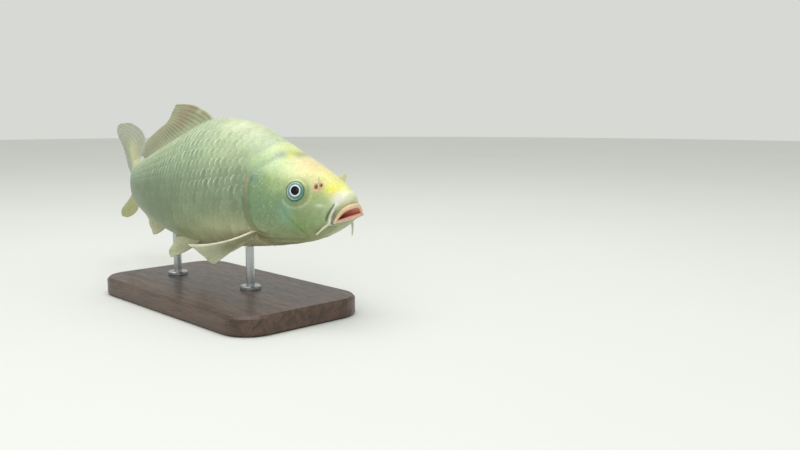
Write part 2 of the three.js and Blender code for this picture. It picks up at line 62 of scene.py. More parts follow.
# Body rings: t, top, bottom, half width, level of greatest width, fullness above, fullness below.
BODY = np.array([
    [0.040, 0.041, -0.049, 0.044, 0.42, 2.3, 2.2],
    [0.070, 0.0600, -0.064, 0.053, 0.43, 2.3, 2.2],
    [0.110, 0.0820, -0.080, 0.062, 0.44, 2.3, 2.2],
    [0.160, 0.1065, -0.093, 0.071, 0.45, 2.2, 2.2],
    [0.220, 0.1375, -0.104, 0.081, 0.46, 2.1, 2.2],
    [0.290, 0.1730, -0.113, 0.090, 0.47, 2.0, 2.2],
    [0.370, 0.189, -0.120, 0.095, 0.47, 2.0, 2.2],
    [0.450, 0.188, -0.124, 0.094, 0.47, 2.0, 2.2],
    [0.540, 0.157, -0.121, 0.085, 0.48, 2.0, 2.1],
    [0.640, 0.122, -0.109, 0.069, 0.49, 2.0, 2.0],
    [0.740, 0.091, -0.090, 0.051, 0.50, 2.0, 2.0],
    [0.840, 0.066, -0.072, 0.034, 0.50, 2.0, 2.0],
    [0.930, 0.056, -0.063, 0.021, 0.50, 2.0, 2.0],
    [1.000, 0.060, -0.067, 0.009, 0.50, 2.0, 2.0],
])

# The rings of the head's front lean back: t over which that fades, then how far their sides drop and how far
# their sides and the chin lie back.
FRONT_SPAN = (0.03, 0.15)
FRONT_DROP = 0.018
FRONT_SWEEP = 0.042
CHIN_SWEEP = 0.01

# Mouth rim: forward place, height and lip radius at the middle of each lip and at the corners.
UPPER_LIP = (-0.0214, 0.0027, 0.0060)
LOWER_LIP = (-0.0246, -0.0241, 0.0052)
MOUTH_CORNER = (-0.0415, -0.0285, 0.0044)
MOUTH_HALF_WIDTH = 0.0405
MOUTH_TURN = 13.0               # degrees the mouth is turned to the fish's right
MOUTH_ROLL = 9.0                # degrees its left side is lifted
MOUTH_PIVOT = (-0.045, 0.0, -0.030)
MOUTH_DEPTH = (-0.064, -0.031)
SNOUT_FULLNESS = 0.0095
LIP_POWERS = (2.9, 2.3)         # how square the line of the upper and of the lower lip is

# Gill cover outline seen from the side, [t, z].
COVER_OUTLINE = [
    [0.190, 0.062], [0.228, 0.094], [0.262, 0.082], [0.275, 0.024], [0.272, -0.046],
    [0.248, -0.079], [0.190, -0.083], [0.132, -0.076], [0.138, -0.054], [0.172, -0.006],
]

# Fins as key rays: [place along the fin, root, pull, tip], each point [t, y, z]. The pull and the tip of the
# first dorsal ray are 0.001 lower than the solid's, so that the finished fin stays within the solids' height.
DORSAL_RAYS = [
    [0.00, [0.443, 0, 0.179], [0.500, 0, 0.235], [0.624, 0, 0.221]],
    [0.12, [0.495, 0, 0.167], [0.556, 0, 0.200], [0.632, 0, 0.201]],
    [0.30, [0.565, 0, 0.138], [0.615, 0, 0.165], [0.655, 0, 0.178]],
    [0.55, [0.650, 0, 0.107], [0.695, 0, 0.134], [0.730, 0, 0.151]],
    [0.80, [0.735, 0, 0.082], [0.770, 0, 0.108], [0.797, 0, 0.121]],
    [1.00, [0.800, 0, 0.066], [0.835, 0, 0.085], [0.862, 0, 0.080]],
]
ANAL_RAYS = [
    [0.00, [0.675, 0, -0.093], [0.725, 0, -0.130], [0.780, 0, -0.134]],
    [0.35, [0.715, 0, -0.084], [0.755, 0, -0.112], [0.795, 0, -0.114]],
    [0.70, [0.752, 0, -0.076], [0.785, 0, -0.098], [0.812, 0, -0.095]],
    [1.00, [0.788, 0, -0.066], [0.815, 0, -0.084], [0.838, 0, -0.082]],
]
CAUDAL_UPPER_RAYS = [
    [0.0, [0.968, 0, 0.050], [1.076, 0.084, 0.144], [1.236, -0.028, 0.175]],
    [0.3, [0.980, 0, 0.042], [1.083, 0.026, 0.101], [1.230, -0.042, 0.139]],
    [0.6, [0.990, 0, 0.030], [1.070, -0.004, 0.056], [1.165, -0.026, 0.078]],
    [1.0, [0.992, 0, 0.001], [1.030, -0.002, 0.001], [1.072, -0.006, 0.001]],
]
CAUDAL_LOWER_RAYS = [
    [0.0, [0.968, 0, -0.056], [1.080, 0.020, -0.114], [1.238, -0.037, -0.144]],
    [0.3, [0.980, 0, -0.048], [1.075, -0.004, -0.084], [1.228, -0.040, -0.119]],
    [0.6, [0.990, 0, -0.032], [1.055, -0.004, -0.048], [1.155, -0.014, -0.065]],
    [1.0, [0.992, 0, -0.001], [1.030, -0.002, -0.001], [1.072, -0.006, -0.001]],
]
PECTORAL_RAYS = [
    [0.00, [0.255, 0.062, -0.061], [0.330, 0.108, -0.106], [0.410, 0.138, -0.100]],
    [0.25, [0.260, 0.061, -0.066], [0.322, 0.100, -0.106], [0.388, 0.127, -0.113]],
    [0.50, [0.266, 0.059, -0.072], [0.315, 0.090, -0.104], [0.371, 0.113, -0.136]],
    [0.72, [0.271, 0.057, -0.077], [0.309, 0.080, -0.106], [0.352, 0.102, -0.147]],
    [0.88, [0.275, 0.055, -0.082], [0.296, 0.072, -0.100], [0.322, 0.092, -0.123]],
    [1.00, [0.279, 0.052, -0.086], [0.287, 0.066, -0.098], [0.300, 0.084, -0.109]],
]
PELVIC_RAYS = [
    [0.00, [0.452, 0.034, -0.098], [0.520, 0.044, -0.150], [0.602, 0.040, -0.170]],
    [0.35, [0.472, 0.032, -0.098], [0.535, 0.042, -0.138], [0.606, 0.038, -0.154]],
    [0.70, [0.492, 0.030, -0.098], [0.542, 0.038, -0.124], [0.590, 0.036, -0.131]],
    [1.00, [0.512, 0.027, -0.097], [0.542, 0.032, -0.110], [0.572, 0.034, -0.112]],
]
PECTORAL_LIFT = 0.030           # how much higher the front edge of the far fins is held
PELVIC_LIFT = 0.012

# Feelers: root, pull and tip as [t, y, z], then the two radii in mm.
LOWER_BARBELS = {
    1: [[0.062, 0.040, -0.037], [0.064, 0.050, -0.052], [0.066, 0.047, -0.075], 1.2, 0.6],
    -1: [[0.062, 0.040, -0.037], [0.070, 0.050, -0.043], [0.092, 0.052, -0.0635], 1.2, 0.6],
}
UPPER_BARBEL = [[0.047, 0.035, 0.001], [0.0515, 0.042, -0.008], [0.0565, 0.046, -0.0215], 1.0, 0.6]

# Flap between the two nostrils of one side: place [t, y, z], width and height.
FLAP = [0.0925, 0.040, 0.045]
FLAP_WIDTH = 0.019
FLAP_HEIGHT = 0.030

# ---------------------------------------------------------------- sizes of the finished surface, mm
HEAD_INSET = 0.35               # bare skin below the solids, room for its folds
TRUNK_INSET = 0.62              # skin below the solids where scales lie over it
COLUMNS = 360                   # skin points around the body
SCALE_ROWS_ABOVE = 8            # rows between the lateral line and the back
SCALE_ROWS_BELOW = 7
SCALE_PITCH = ([0.20, 0.30, 0.45, 0.70, 1.00], [5.4, 5.9, 5.6, 5.0, 4.3])
SEED = 7
MEMBRANE = 4.6                  # width of the soft edge of the gill cover


# ---------------------------------------------------------------- curves
def smooth(start, end, x):
    u = np.clip((np.asarray(x, float) - start) / (end - start), 0, 1)
    return u * u * (3 - 2 * u)


def curve(xs, ys, x):
    """Smooth curve through (xs, ys) read at x; ys may carry further axes."""
    xs = np.asarray(xs, float)
    ys = np.asarray(ys, float)
    x = np.asarray(x, float)
    span = np.diff(xs).reshape((-1,) + (1,) * (ys.ndim - 1))
    slope = np.diff(ys, axis=0) / span
    tangent = np.empty_like(ys)
    tangent[0] = slope[0]
    tangent[-1] = slope[-1]
    tangent[1:-1] = (slope[:-1] * span[1:] + slope[1:] * span[:-1]) / (span[1:] + span[:-1])
    i = np.clip(np.searchsorted(xs, x, side="right") - 1, 0, len(xs) - 2)
    h = np.diff(xs)[i]
    u = ((x - xs[i]) / h).reshape(x.shape + (1,) * (ys.ndim - 1))
    h = h.reshape(u.shape)
    return ((2 * u**3 - 3 * u**2 + 1) * ys[i] + (u**3 - 2 * u**2 + u) * h * tangent[i]
            + (3 * u**2 - 2 * u**3) * ys[i + 1] + (u**3 - u**2) * h * tangent[i + 1])


def closed_curve(points, per_side):
    """Smooth closed line through the points."""
    p = np.asarray(points, float)
    n = len(p)
    u = np.arange(per_side) / per_side
    u = u.reshape(-1, 1)
    line = []
    for k in range(n):
        p0, p1, p2, p3 = p[k - 1], p[k], p[(k + 1) % n], p[(k + 2) % n]
        line.append(0.5 * (2 * p1 + (p2 - p0) * u + (2 * p0 - 5 * p1 + 4 * p2 - p3) * u**2
                           + (3 * p1 - p0 - 3 * p2 + p3) * u**3))
    return np.concatenate(line)


def unit(vectors):
    return vectors / np.maximum(np.linalg.norm(vectors, axis=-1, keepdims=True), 1e-12)


def body_point(t, v):
    """Point of the body ring at t, at angle v: 0 on the fish's left, 90 degrees on the back."""
    t, v = np.broadcast_arrays(np.asarray(t, float), np.asarray(v, float))
    at = np.clip(t, BODY[0, 0], 1.0)
    rows = curve(BODY[:, 0], BODY[:, 1:], at)
    top, bottom, half, level, above, below = np.moveaxis(rows, -1, 0)
    middle = bottom + (top - bottom) * level
    c = np.cos(v)
    s = np.sin(v)
    power = 2 / np.where(s >= 0, above, below)
    height = np.where(s >= 0, top - middle, middle - bottom)
    front = 1 - smooth(*FRONT_SPAN, t)
    y = half * np.sign(c) * np.abs(c)**power
    z = middle + height * np.sign(s) * np.abs(s)**power - FRONT_DROP * front * c * c
    x = -(t + FRONT_SWEEP * front * c * c + np.where(s < 0, CHIN_SWEEP * front * s * s, 0))
    return np.stack([x, y, z], -1)


def mouth_rim(v):
    """Centre line of the lips at angle v, with the lip radius there."""
    c = np.cos(v)
    upper = np.sin(v) >= 0
    lip = np.where(upper[..., None], UPPER_LIP, LOWER_LIP)
    front = 1 - c**2
    level = 1 - np.abs(c)**np.where(upper, *LIP_POWERS)
    at = np.stack([
        lip[..., 0] * front + MOUTH_CORNER[0] * (1 - front),
        MOUTH_HALF_WIDTH * c,
        MOUTH_CORNER[1] + (lip[..., 1] - MOUTH_CORNER[1]) * level,
    ], -1) - MOUTH_PIVOT
    turn = math.radians(MOUTH_TURN)
    roll = math.radians(MOUTH_ROLL)
    ahead = at[..., 0] * math.cos(turn) + at[..., 1] * math.sin(turn)
    across = at[..., 1] * math.cos(turn) - at[..., 0] * math.sin(turn)
    at = np.stack([
        ahead,
        across * math.cos(roll) - at[..., 2] * math.sin(roll),
        across * math.sin(roll) + at[..., 2] * math.cos(roll),
    ], -1) + MOUTH_PIVOT
    return at, lip[..., 2] * front + MOUTH_CORNER[2] * (1 - front)


def lip_point(v, turn):
    """Point on the rolled lip: turn 0 looks outward from the mouth, 90 forward, 180 into the mouth."""
    rim, radius = mouth_rim(v)
    along = unit(mouth_rim(v + 0.001)[0] - mouth_rim(v - 0.001)[0])
    out = np.stack([np.zeros_like(v), np.cos(v), np.sin(v)], -1)
    out = unit(out - along * (along * out).sum(-1, keepdims=True))
    forward = np.cross(out, along)
    turn = math.radians(turn)
    return rim + radius[..., None] * (math.cos(turn) * out + math.sin(turn) * forward)


# ---------------------------------------------------------------- spine
def heading(t):
    u = np.clip((np.asarray(t, float) - BEND_START) / (1 - BEND_START), 0, 1)
    return math.radians(HEAD_TURN) - math.radians(TAIL_BEND) * u**BEND_POWER


def spine_line(ts):
    """Places of the spine seen from above, with the middle of the fish at the origin."""
    turn = heading((ts[:-1] + ts[1:]) / 2)
    steps = -(ts[1] - ts[0]) * np.stack([np.cos(turn), np.sin(turn)], -1)
    line = np.concatenate([[[0.0, 0.0]], np.cumsum(steps, 0)])
    return line - [np.interp(CENTRE_T, ts, line[:, 0]), np.interp(CENTRE_T, ts, line[:, 1])]


SPINE_T = np.linspace(-0.1, 1.4, 3001)
SPINE_XY = spine_line(SPINE_T)


def to_row(points):
    """Straight fish, in shares of its length, to its place over the stand in metres."""
    p = np.asarray(points, float)
    t = -p[..., 0]
    turn = heading(t)
    x = np.interp(t, SPINE_T, SPINE_XY[:, 0]) - np.sin(turn) * p[..., 1]
    y = np.interp(t, SPINE_T, SPINE_XY[:, 1]) + np.cos(turn) * p[..., 1]
    z = p[..., 2] + SNOUT_HEIGHT / LENGTH
    return np.stack([x, y, z], -1) * LENGTH / 1000


# ---------------------------------------------------------------- distances on the straight fish, mm
LINE_POINTS = 24


def both_sides(points):
    """Points in mm with the right side folded onto the left."""
    p = np.asarray(points, float) * LENGTH
    return np.stack([-p[..., 0], np.abs(p[..., 1]), p[..., 2]], -1)


def t_of(folded):
    return folded[..., 0] / LENGTH


def z_of(folded):
    return folded[..., 2] / LENGTH


def as_straight(points):
    """Points in mm as [back from the snout, left, up], for the materials' patterns."""
    return points * LENGTH * [-1, 1, 1]


def line_through(points):
    p = np.asarray(points, float)
    return curve(np.arange(len(p)), p, np.linspace(0, len(p) - 1, LINE_POINTS))


def distance(folded, line):
    """Distance in mm from folded points to a line given as [t, y, z] shares, and the share along it."""
    line = np.asarray(line, float) * LENGTH
    best = np.full(folded.shape[:-1], np.inf)
    share = np.zeros(folded.shape[:-1])
    for k in range(len(line) - 1):
        run = line[k + 1] - line[k]
        u = np.clip(((folded - line[k]) @ run) / (run @ run), 0, 1)
        gap = np.linalg.norm(folded - line[k] - u[..., None] * run, axis=-1)
        closer = gap < best
        best = np.where(closer, gap, best)
        share = np.where(closer, (k + u) / (len(line) - 1), share)
    return best, share


COVER_LINE = closed_curve(COVER_OUTLINE, 8)


def cover_distance(folded):
    """Distance in mm from the gill cover's outline seen from the side, negative on the cover."""
    side = folded[..., [0, 2]]
    line = COVER_LINE * LENGTH
    best = np.full(side.shape[:-1], np.inf)
    inside = np.zeros(side.shape[:-1], bool)
    for k in range(len(line)):
        a = line[k - 1]
        b = line[k]
        run = b - a
        u = np.clip(((side - a) @ run) / (run @ run), 0, 1)
        best = np.minimum(best, np.linalg.norm(side - a - u[..., None] * run, axis=-1))
        crosses = (a[1] > side[..., 1]) != (b[1] > side[..., 1])
        at = a[0] + (side[..., 1] - a[1]) / (run[1] if abs(run[1]) > 1e-9 else 1e-9) * run[0]
        inside ^= crosses & (side[..., 0] < at)
    return np.where(inside, -best, best)


def bump(gap, width):
    return np.exp(-(gap / width)**2)


# ---------------------------------------------------------------- landmarks of the head, [t, y, z]
def surface_place(t, angle):
    x, y, z = body_point(t, angle)
    return np.array([-x, y, z])


EYE_PLACE = surface_place(EYE_T, EYE_ANGLE)
NOSTRIL_REAR = np.array([0.0975, 0.0425, 0.0425])
NOSTRIL_FRONT = np.array([0.0880, 0.0365, 0.0465])

# Folds and creases: their line, height in mm (negative is a groove) and half width in mm.
FOLDS = {
    "mouth_fold": ([
        [0.042, 0.034, 0.009], [0.0464, 0.0365, 0.0035], [0.0508, 0.0391, -0.004], [0.0549, 0.0413, -0.0125],
        [0.0575, 0.043, -0.024], [0.0595, 0.044, -0.034], [0.064, 0.0426, -0.0385],
    ], 0.80, 1.3),
    "fold_valley": ([
        [0.044, 0.037, 0.000], [0.0485, 0.040, -0.011], [0.0515, 0.042, -0.0215],
        [0.0545, 0.043, -0.0315], [0.056, 0.040, -0.040],
    ], -0.85, 1.1),
    "fold_crease": ([
        [0.050, 0.0365, 0.008], [0.0543, 0.039, 0.001], [0.0637, 0.043, -0.0137],
        [0.0688, 0.045, -0.0249], [0.069, 0.0455, -0.034],
    ], -0.95, 1.1),
    "skull_edge": ([
        [0.262, 0.083, 0.066], [0.230, 0.070, 0.087], [0.206, 0.053, 0.105], [0.188, 0.030, 0.117],
    ], -0.25, 2.5),
    "jaw_crease": ([
        [0.050, 0.022, -0.050], [0.064, 0.034, -0.049], [0.082, 0.041, -0.053], [0.110, 0.040, -0.066],
    ], -0.80, 1.2),
    "throat_crease": ([
        [0.085, 0.000, -0.071], [0.115, 0.008, -0.080], [0.165, 0.018, -0.093], [0.225, 0.027, -0.103],
    ], -0.70, 1.4),
    "cheek_crease": ([
        [0.158, 0.066, 0.010], [0.146, 0.067, -0.010], [0.124, 0.063, -0.022], [0.098, 0.056, -0.018],
    ], -0.30, 1.8),
    "brow_crease": ([
        [0.112, 0.052, 0.040], [0.135, 0.056, 0.056], [0.165, 0.064, 0.052], [0.186, 0.072, 0.036],
    ], -0.22, 2.2),
}
FOLD_LINES = {name: line_through(points) for name, (points, _, _) in FOLDS.items()}

# Where the scales start: height z, and t there.
SCALE_START = ([-0.13, -0.085, 0.060, 0.095, 0.118, 0.145], [0.225, 0.262, 0.262, 0.258, 0.232, 0.212])

# Nostrils: place and radius in mm, of the hole's relief and of its colour.
NOSTRILS = [(NOSTRIL_REAR, 1.7, 1.75), (NOSTRIL_FRONT, 1.25, 1.25)]
NOSTRIL_RIM = 1.35              # of the radius
EYE_SOCKET_DEPTH = 2.8          # mm
BARBEL_SWELLING = (0.5, 2.4)    # height and half width of the skin round a feeler's root, mm
COVER_STEP = 0.65               # mm from the bony cover down to the membrane
MEMBRANE_STEP = 0.75            # mm from the membrane down to the scales


# ---------------------------------------------------------------- relief of the skin, mm
def nape_distance(folded):
    """How far behind the start of the scales a point lies, mm: the nape above, the gill opening below."""
    t = t_of(folded)
    z = z_of(folded)
    nape = (t - curve(*SCALE_START, z)) * LENGTH
    behind = cover_distance(folded) + 0.6
    on_flank = smooth(-0.086, -0.074, z) * (1 - smooth(0.085, 0.100, z))
    return np.where(t > 0.235, nape * (1 - on_flank) + behind * on_flank, nape)


def gill_relief(folded, beneath=False):
    """Steps of the bony cover's free edge and of the soft membrane behind it; beneath tucks under both."""
    t = t_of(folded)
    z = z_of(folded)
    gap = cover_distance(folded) + MEMBRANE
    if beneath:
        gap = np.maximum(gap, MEMBRANE + 0.9)
    flank = smooth(5, 16, folded[..., 1])
    rear = smooth(0.205, 0.240, t)
    free = rear * flank * (1 - smooth(0.058, 0.088, z))
    under = smooth(0.115, 0.150, t) * (1 - rear) * (1 - smooth(-0.060, -0.045, z))
    front = flank * (1 - smooth(0.195, 0.225, t)) * smooth(-0.062, -0.045, z)
    bony = smooth(-0.7, 0.6, gap) * (1 - smooth(5, 16, gap))
    soft = smooth(MEMBRANE - 0.4, MEMBRANE + 0.7, gap) * (1 - smooth(MEMBRANE + 1, MEMBRANE + 13, gap))
    height = -(COVER_STEP * bony + MEMBRANE_STEP * soft) * free
    height -= 0.9 * bump(gap - MEMBRANE - 0.8, 1.3) * under * flank
    height -= 0.30 * bump(gap - MEMBRANE, 1.8) * front
    return height + 0.35 * bump(gap + 1.8, 1.5) * free


def eye_relief(folded):
    gap = np.linalg.norm(folded - EYE_PLACE * LENGTH, axis=-1)
    socket = -EYE_SOCKET_DEPTH * (1 - smooth(6.6, 7.7, gap))
    return socket + 0.30 * bump(gap - 8.5, 0.8) - 0.32 * bump(gap - 10.4, 1.4)


def nostril_gap(folded, place, radius):
    d = (folded - place * LENGTH) / radius
    return np.sqrt((d[..., 0] * 1.2)**2 + d[..., 1]**2 + (d[..., 2] * 0.68)**2)


def nostril_relief(folded):
    height = 0
    for place, radius, _ in NOSTRILS:
        gap = nostril_gap(folded, place, radius)
        height = height - 1.5 * np.exp(-(gap / 0.8)**4) + 0.33 * bump(gap - NOSTRIL_RIM, 0.38)
    return height


def fold_relief(folded):
    """Folds round the mouth, the jaw, the throat and the cheek."""
    height = 0
    for name, (_, rise, width) in FOLDS.items():
        gap, along = distance(folded, FOLD_LINES[name])
        fade = smooth(0.0, 0.18, along) * (1 - smooth(0.82, 1.0, along))
        height = height + rise * bump(gap, width) * fade
    rise, width = BARBEL_SWELLING
    for root in (LOWER_BARBELS[1][0], UPPER_BARBEL[0]):
        gap = np.linalg.norm(folded - np.array(root) * LENGTH, axis=-1)
        height = height + rise * bump(gap, width)
    return height


RIPPLE_WAVES = 7
RIPPLE_SUM = 3.2                # brings the sum of the waves to between about -1 and 1


def ripple(folded, size, seed):
    """Gentle random swelling with a given wavelength in mm, between about -1 and 1."""
    rng = np.random.default_rng(seed)
    total = 0
    for _ in range(RIPPLE_WAVES):
        way = unit(rng.normal(size=3)) * 2 * math.pi / size * rng.uniform(0.7, 1.4)
        total = total + np.sin(folded @ way + rng.uniform(0, 2 * math.pi))
    return total / RIPPLE_SUM


def relief(folded):
    t = t_of(folded)
    head = 1 - smooth(0.22, 0.27, t)
    height = gill_relief(folded)
    height = height + (eye_relief(folded) + nostril_relief(folded) + fold_relief(folded)) * head
    return height + head * (0.10 * ripple(folded, 9, 3) + 0.05 * ripple(folded, 3.6, 4))


def inset(folded):
    return HEAD_INSET + (TRUNK_INSET - HEAD_INSET) * smooth(-1.0, 5.0, nape_distance(folded))


# ---------------------------------------------------------------- markings and painted shade
def colour(code):
    """Hex colour as it looks, to linear light."""
    c = np.array([int(code[k:k + 2], 16) for k in (1, 3, 5)]) / 255
    return np.where(c <= 0.04045, c / 12.92, ((c + 0.055) / 1.055)**2.4)


def toward(base, code, amount):
    return base + (colour(code) - base) * np.clip(amount, 0, 1)[..., None]


# Colours up the side of the fish, from belly to back: places from 0 to 1, and the colour at each.
# Painted shade: the darker olive low on the flank and the darker rear tones are partly the fish's own
# countershading and partly shade of light from above painted into the colour; the head's tones darken low
# down the same way.
BODY_TONES = ([0.0, 0.15, 0.35, 0.55, 0.75, 1.0],
              ["#d0d0a8", "#98a478", "#80906e", "#8c9e7e", "#a6ba94", "#b6c6a4"])
REAR_TONES = ([0.0, 0.15, 0.45, 0.70, 1.0],
              ["#8a9a66", "#667a4c", "#647a54", "#768e6a", "#aec08a"])
HEAD_TONES = ([0.0, 0.20, 0.50, 0.70, 0.88, 1.0],
              ["#b4b68e", "#88996e", "#809c72", "#a8c084", "#d0e2aa", "#d8e0a6"])

# Patches of colour: [t, y, z], radii along t, y and z in mm, colour and strength.
PATCHES = [
    ([0.228, 0.085, 0.000], (13, 20, 22), "#76926c", 0.55),
    ([0.247, 0.080, 0.062], (5, 11, 6), "#6c8f8c", 0.70),
    ([0.210, 0.065, 0.088], (9, 12, 5), "#dcf4c2", 0.80),
    ([0.160, 0.070, -0.020], (7, 20, 9), "#76a497", 0.75),
    ([0.125, 0.060, -0.032], (14, 20, 10), "#8aa458", 0.70),
    ([0.075, 0.045, 0.000], (13, 14, 16), "#b3c392", 0.75),
    ([0.102, 0.052, 0.014], (8, 10, 7), "#a3b06c", 0.55),
    ([0.102, 0.048, -0.034], (9, 14, 9), "#7f9360", 0.50),
    ([0.171, 0.068, 0.048], (9, 14, 7), "#a6c08a", 0.50),
    ([0.250, 0.060, 0.085], (9, 14, 7), "#a8c696", 0.50),
    # Painted light: a pale patch lifting the lower flank behind the pectoral fin, where the fin shades it.
    ([0.325, 0.070, -0.088], (32, 24, 13), "#d2cfa8", 0.80),
    ([0.148, 0.055, 0.074], (11, 15, 7), "#dcf2c6", 0.70),
    ([0.110, 0.030, 0.080], (19, 22, 11), "#ecdf9a", 0.85),
    ([0.135, 0.010, 0.096], (12, 14, 7), "#e6cfa0", 0.60),
    ([0.118, 0.056, 0.022], (3, 8, 8), "#a3965f", 0.35),
    ([0.126, 0.064, 0.000], (7, 8, 3), "#8f9186", 0.45),
    ([0.086, 0.045, 0.002], (3, 5, 1.2), "#eef4dc", 0.50),
    ([0.057, 0.023, 0.038], (7, 9, 5), "#f2ea28", 1.00),
    ([0.080, 0.012, 0.056], (8, 10, 6), "#ece27a", 0.50),
    ([0.027, 0.014, 0.020], (9, 13, 7), "#e9e9ca", 0.85),
    ([0.046, 0.029, 0.018], (5, 6, 5), "#dcd8d4", 0.80),
    ([0.181, 0.026, 0.116], (5, 7, 5), "#dbd94a", 0.85),
    ([0.168, 0.006, 0.112], (4, 7, 4), "#9a9e80", 0.75),
    ([0.197, 0.040, 0.112], (5, 8, 3), "#8fa79c", 0.60),
    ([0.262, 0.055, -0.075], (9, 10, 8), "#9a8260", 0.55),
    ([0.315, 0.070, 0.125], (22, 30, 14), "#cbd8ab", 0.60),
    ([0.300, 0.088, 0.055], (16, 20, 14), "#84977a", 0.45),
    ([0.310, 0.020, 0.178], (24, 26, 9), "#dde0b4", 0.60),
    ([0.985, 0.000, 0.045], (12, 20, 12), "#d6d592", 0.85),
]


def height_share(folded):
    """0 on the belly, 1 on the back."""
    t = np.clip(t_of(folded), BODY[0, 0], 1.0)
    top = curve(BODY[:, 0], BODY[:, 1], t)
    bottom = curve(BODY[:, 0], BODY[:, 2], t)
    return np.clip((z_of(folded) - bottom) / (top - bottom), 0, 1)


def tones(stops, share):
    places, codes = stops
    return curve(places, np.array([colour(c) for c in codes]), share)


def markings_and_shade(folded):
    """Colour of the fish at straight points in mm: its markings, with painted shade low on the flank and on
    the rear and painted light behind the pectoral fin.
    """
    share = height_share(folded)
    t = t_of(folded)
    head = 1 - smooth(-4, 6, nape_distance(folded))
    rear = smooth(0.40, 0.66, t)[..., None]
    base = tones(BODY_TONES, share) * (1 - rear) + tones(REAR_TONES, share) * rear
    base = base * (1 - head[..., None]) + tones(HEAD_TONES, share) * head[..., None]
    for place, radii, code, strength in PATCHES:
        d = (folded - np.array(place) * LENGTH) / np.array(radii, float)
        base = toward(base, code, strength * np.exp(-0.8 * (d**2).sum(-1)))
    return np.clip(base, 0, 1)


# Colours of the folds: strength and half width in mm. The dark tints in the mouth fold's valley and crease
# and in the jaw and throat creases are painted shade.
FOLD_TINTS_AND_SHADE = [
    ("skull_edge", "#93ab9c", 0.30, 3.4), ("mouth_fold", "#f3efdf", 0.90, 1.2),
    ("fold_valley", "#9c949c", 0.70, 1.2), ("fold_crease", "#4d5240", 0.80, 1.1),
    ("jaw_crease", "#8d8a66", 0.45, 1.6), ("throat_crease", "#8d8a66", 0.35, 1.6),
]


def eye_shade_and_tints(base, folded):
    """Painted shade of the socket rim: a darker ring round the eye, stronger below it; then an olive and a
    pale ring under it.
    """
    eye = EYE_PLACE * LENGTH
    gap = np.linalg.norm(folded - eye, axis=-1)
    below = smooth(-3, 5, eye[2] - folded[..., 2] + 0.6 * (eye[0] - folded[..., 0]))
    base = toward(base, "#46705c", (0.45 + 0.45 * below) * bump(gap - 7.4, 1.3))
    base = toward(base, "#7f8f55", 0.45 * below * bump(gap - 10.6, 1.4))
    return toward(base, "#c4d3a6", 0.35 * below * bump(gap - 13.2, 1.2))


def gill_tints(base, folded):
    """Streaked membrane of the gill cover, with painted shadow lines before and behind it."""
    t = t_of(folded)
    z = z_of(folded)
    gap = cover_distance(folded) + MEMBRANE
    flank = smooth(5, 16, folded[..., 1]) * smooth(0.225, 0.250, t) * (1 - smooth(0.056, 0.078, z))
    band = flank * smooth(-1.2, 1.2, gap) * (1 - smooth(MEMBRANE - 1.2, MEMBRANE + 1.4, gap))
    band = band * (0.75 + 0.25 * np.cos(gap * 3.4)) * (0.8 + 0.2 * ripple(folded, 7, 11))
    high = smooth(-0.01, 0.05, z)
    base = toward(base, "#bd9f88", 0.75 * band * high)
    base = toward(base, "#867b58", 0.75 * band * (1 - high) * smooth(-0.085, -0.045, z))
    shadow = 0.60 * flank * bump(gap + 1.6, 1.5) * (0.8 + 0.4 * ripple(folded, 9, 12))
    base = toward(base, "#55704e", shadow)
    # Painted shadow behind the membrane, where the skin steps down to the scales.
    return toward(base, "#5f7050", 0.35 * flank * bump(gap - MEMBRANE - 1.0, 1.0))


def head_details(base, folded):
    """The eye's surround, the nostrils, the gill membrane and the folds over the plain colour, with painted
    shade at the eye's socket rim, in the nostril pits, along the gill cover's steps and in the creases.
    """
    base = eye_shade_and_tints(base, folded)
    for place, _, radius in NOSTRILS:
        gap = nostril_gap(folded, place, radius)
        base = toward(base, "#f0b59c", 0.80 * bump(gap - NOSTRIL_RIM, 0.5))
        # Painted shade in each nostril pit, a dark reddish brown.
        base = toward(base, "#a05e48", 0.95 * np.exp(-(gap / 0.85)**4))
    base = gill_tints(base, folded)
    for name, code, strength, width in FOLD_TINTS_AND_SHADE:
        gap, along = distance(folded, FOLD_LINES[name])
        fade = smooth(0, 0.2, along) * (1 - smooth(0.9, 1.0, along))
        base = toward(base, code, strength * bump(gap, width) * fade)
    return base


# ---------------------------------------------------------------- meshes
def make_object(name, points, faces, material, values):
    """Mesh object from points in metres and faces of 3 or 4 corners; values are per point attributes."""
    corners = np.concatenate([np.asarray(f, np.int32).ravel() for f in faces])
    sizes = np.concatenate([np.full(len(f), np.asarray(f).shape[1], np.int32) for f in faces])
    mesh = bpy.data.meshes.new(name)
    mesh.vertices.add(len(points))
    mesh.vertices.foreach_set("co", np.asarray(points, np.float32).ravel())
    mesh.loops.add(len(corners))
    mesh.loops.foreach_set("vertex_index", corners)
    mesh.polygons.add(len(sizes))
    mesh.polygons.foreach_set("loop_start", np.concatenate([[0], np.cumsum(sizes)[:-1]]).astype(np.int32))
    mesh.update(calc_edges=True)
    mesh.polygons.foreach_set("use_smooth", np.ones(len(sizes), bool))
    for key, data in values.items():
        data = np.asarray(data, np.float32)
        if data.ndim == 1:
            mesh.attributes.new(key, "FLOAT", "POINT").data.foreach_set("value", data)
        elif key == "tone":
            rgba = np.concatenate([data, np.ones((len(data), 1), np.float32)], 1)
            mesh.attributes.new(key, "FLOAT_COLOR", "POINT").data.foreach_set("color", rgba.ravel())
        else:
            mesh.attributes.new(key, "FLOAT_VECTOR", "POINT").data.foreach_set("vector", data.ravel())
    mesh.validate()
    thing = bpy.data.objects.new(name, mesh)
    bpy.context.scene.collection.objects.link(thing)
    mesh.materials.append(material)
    return thing


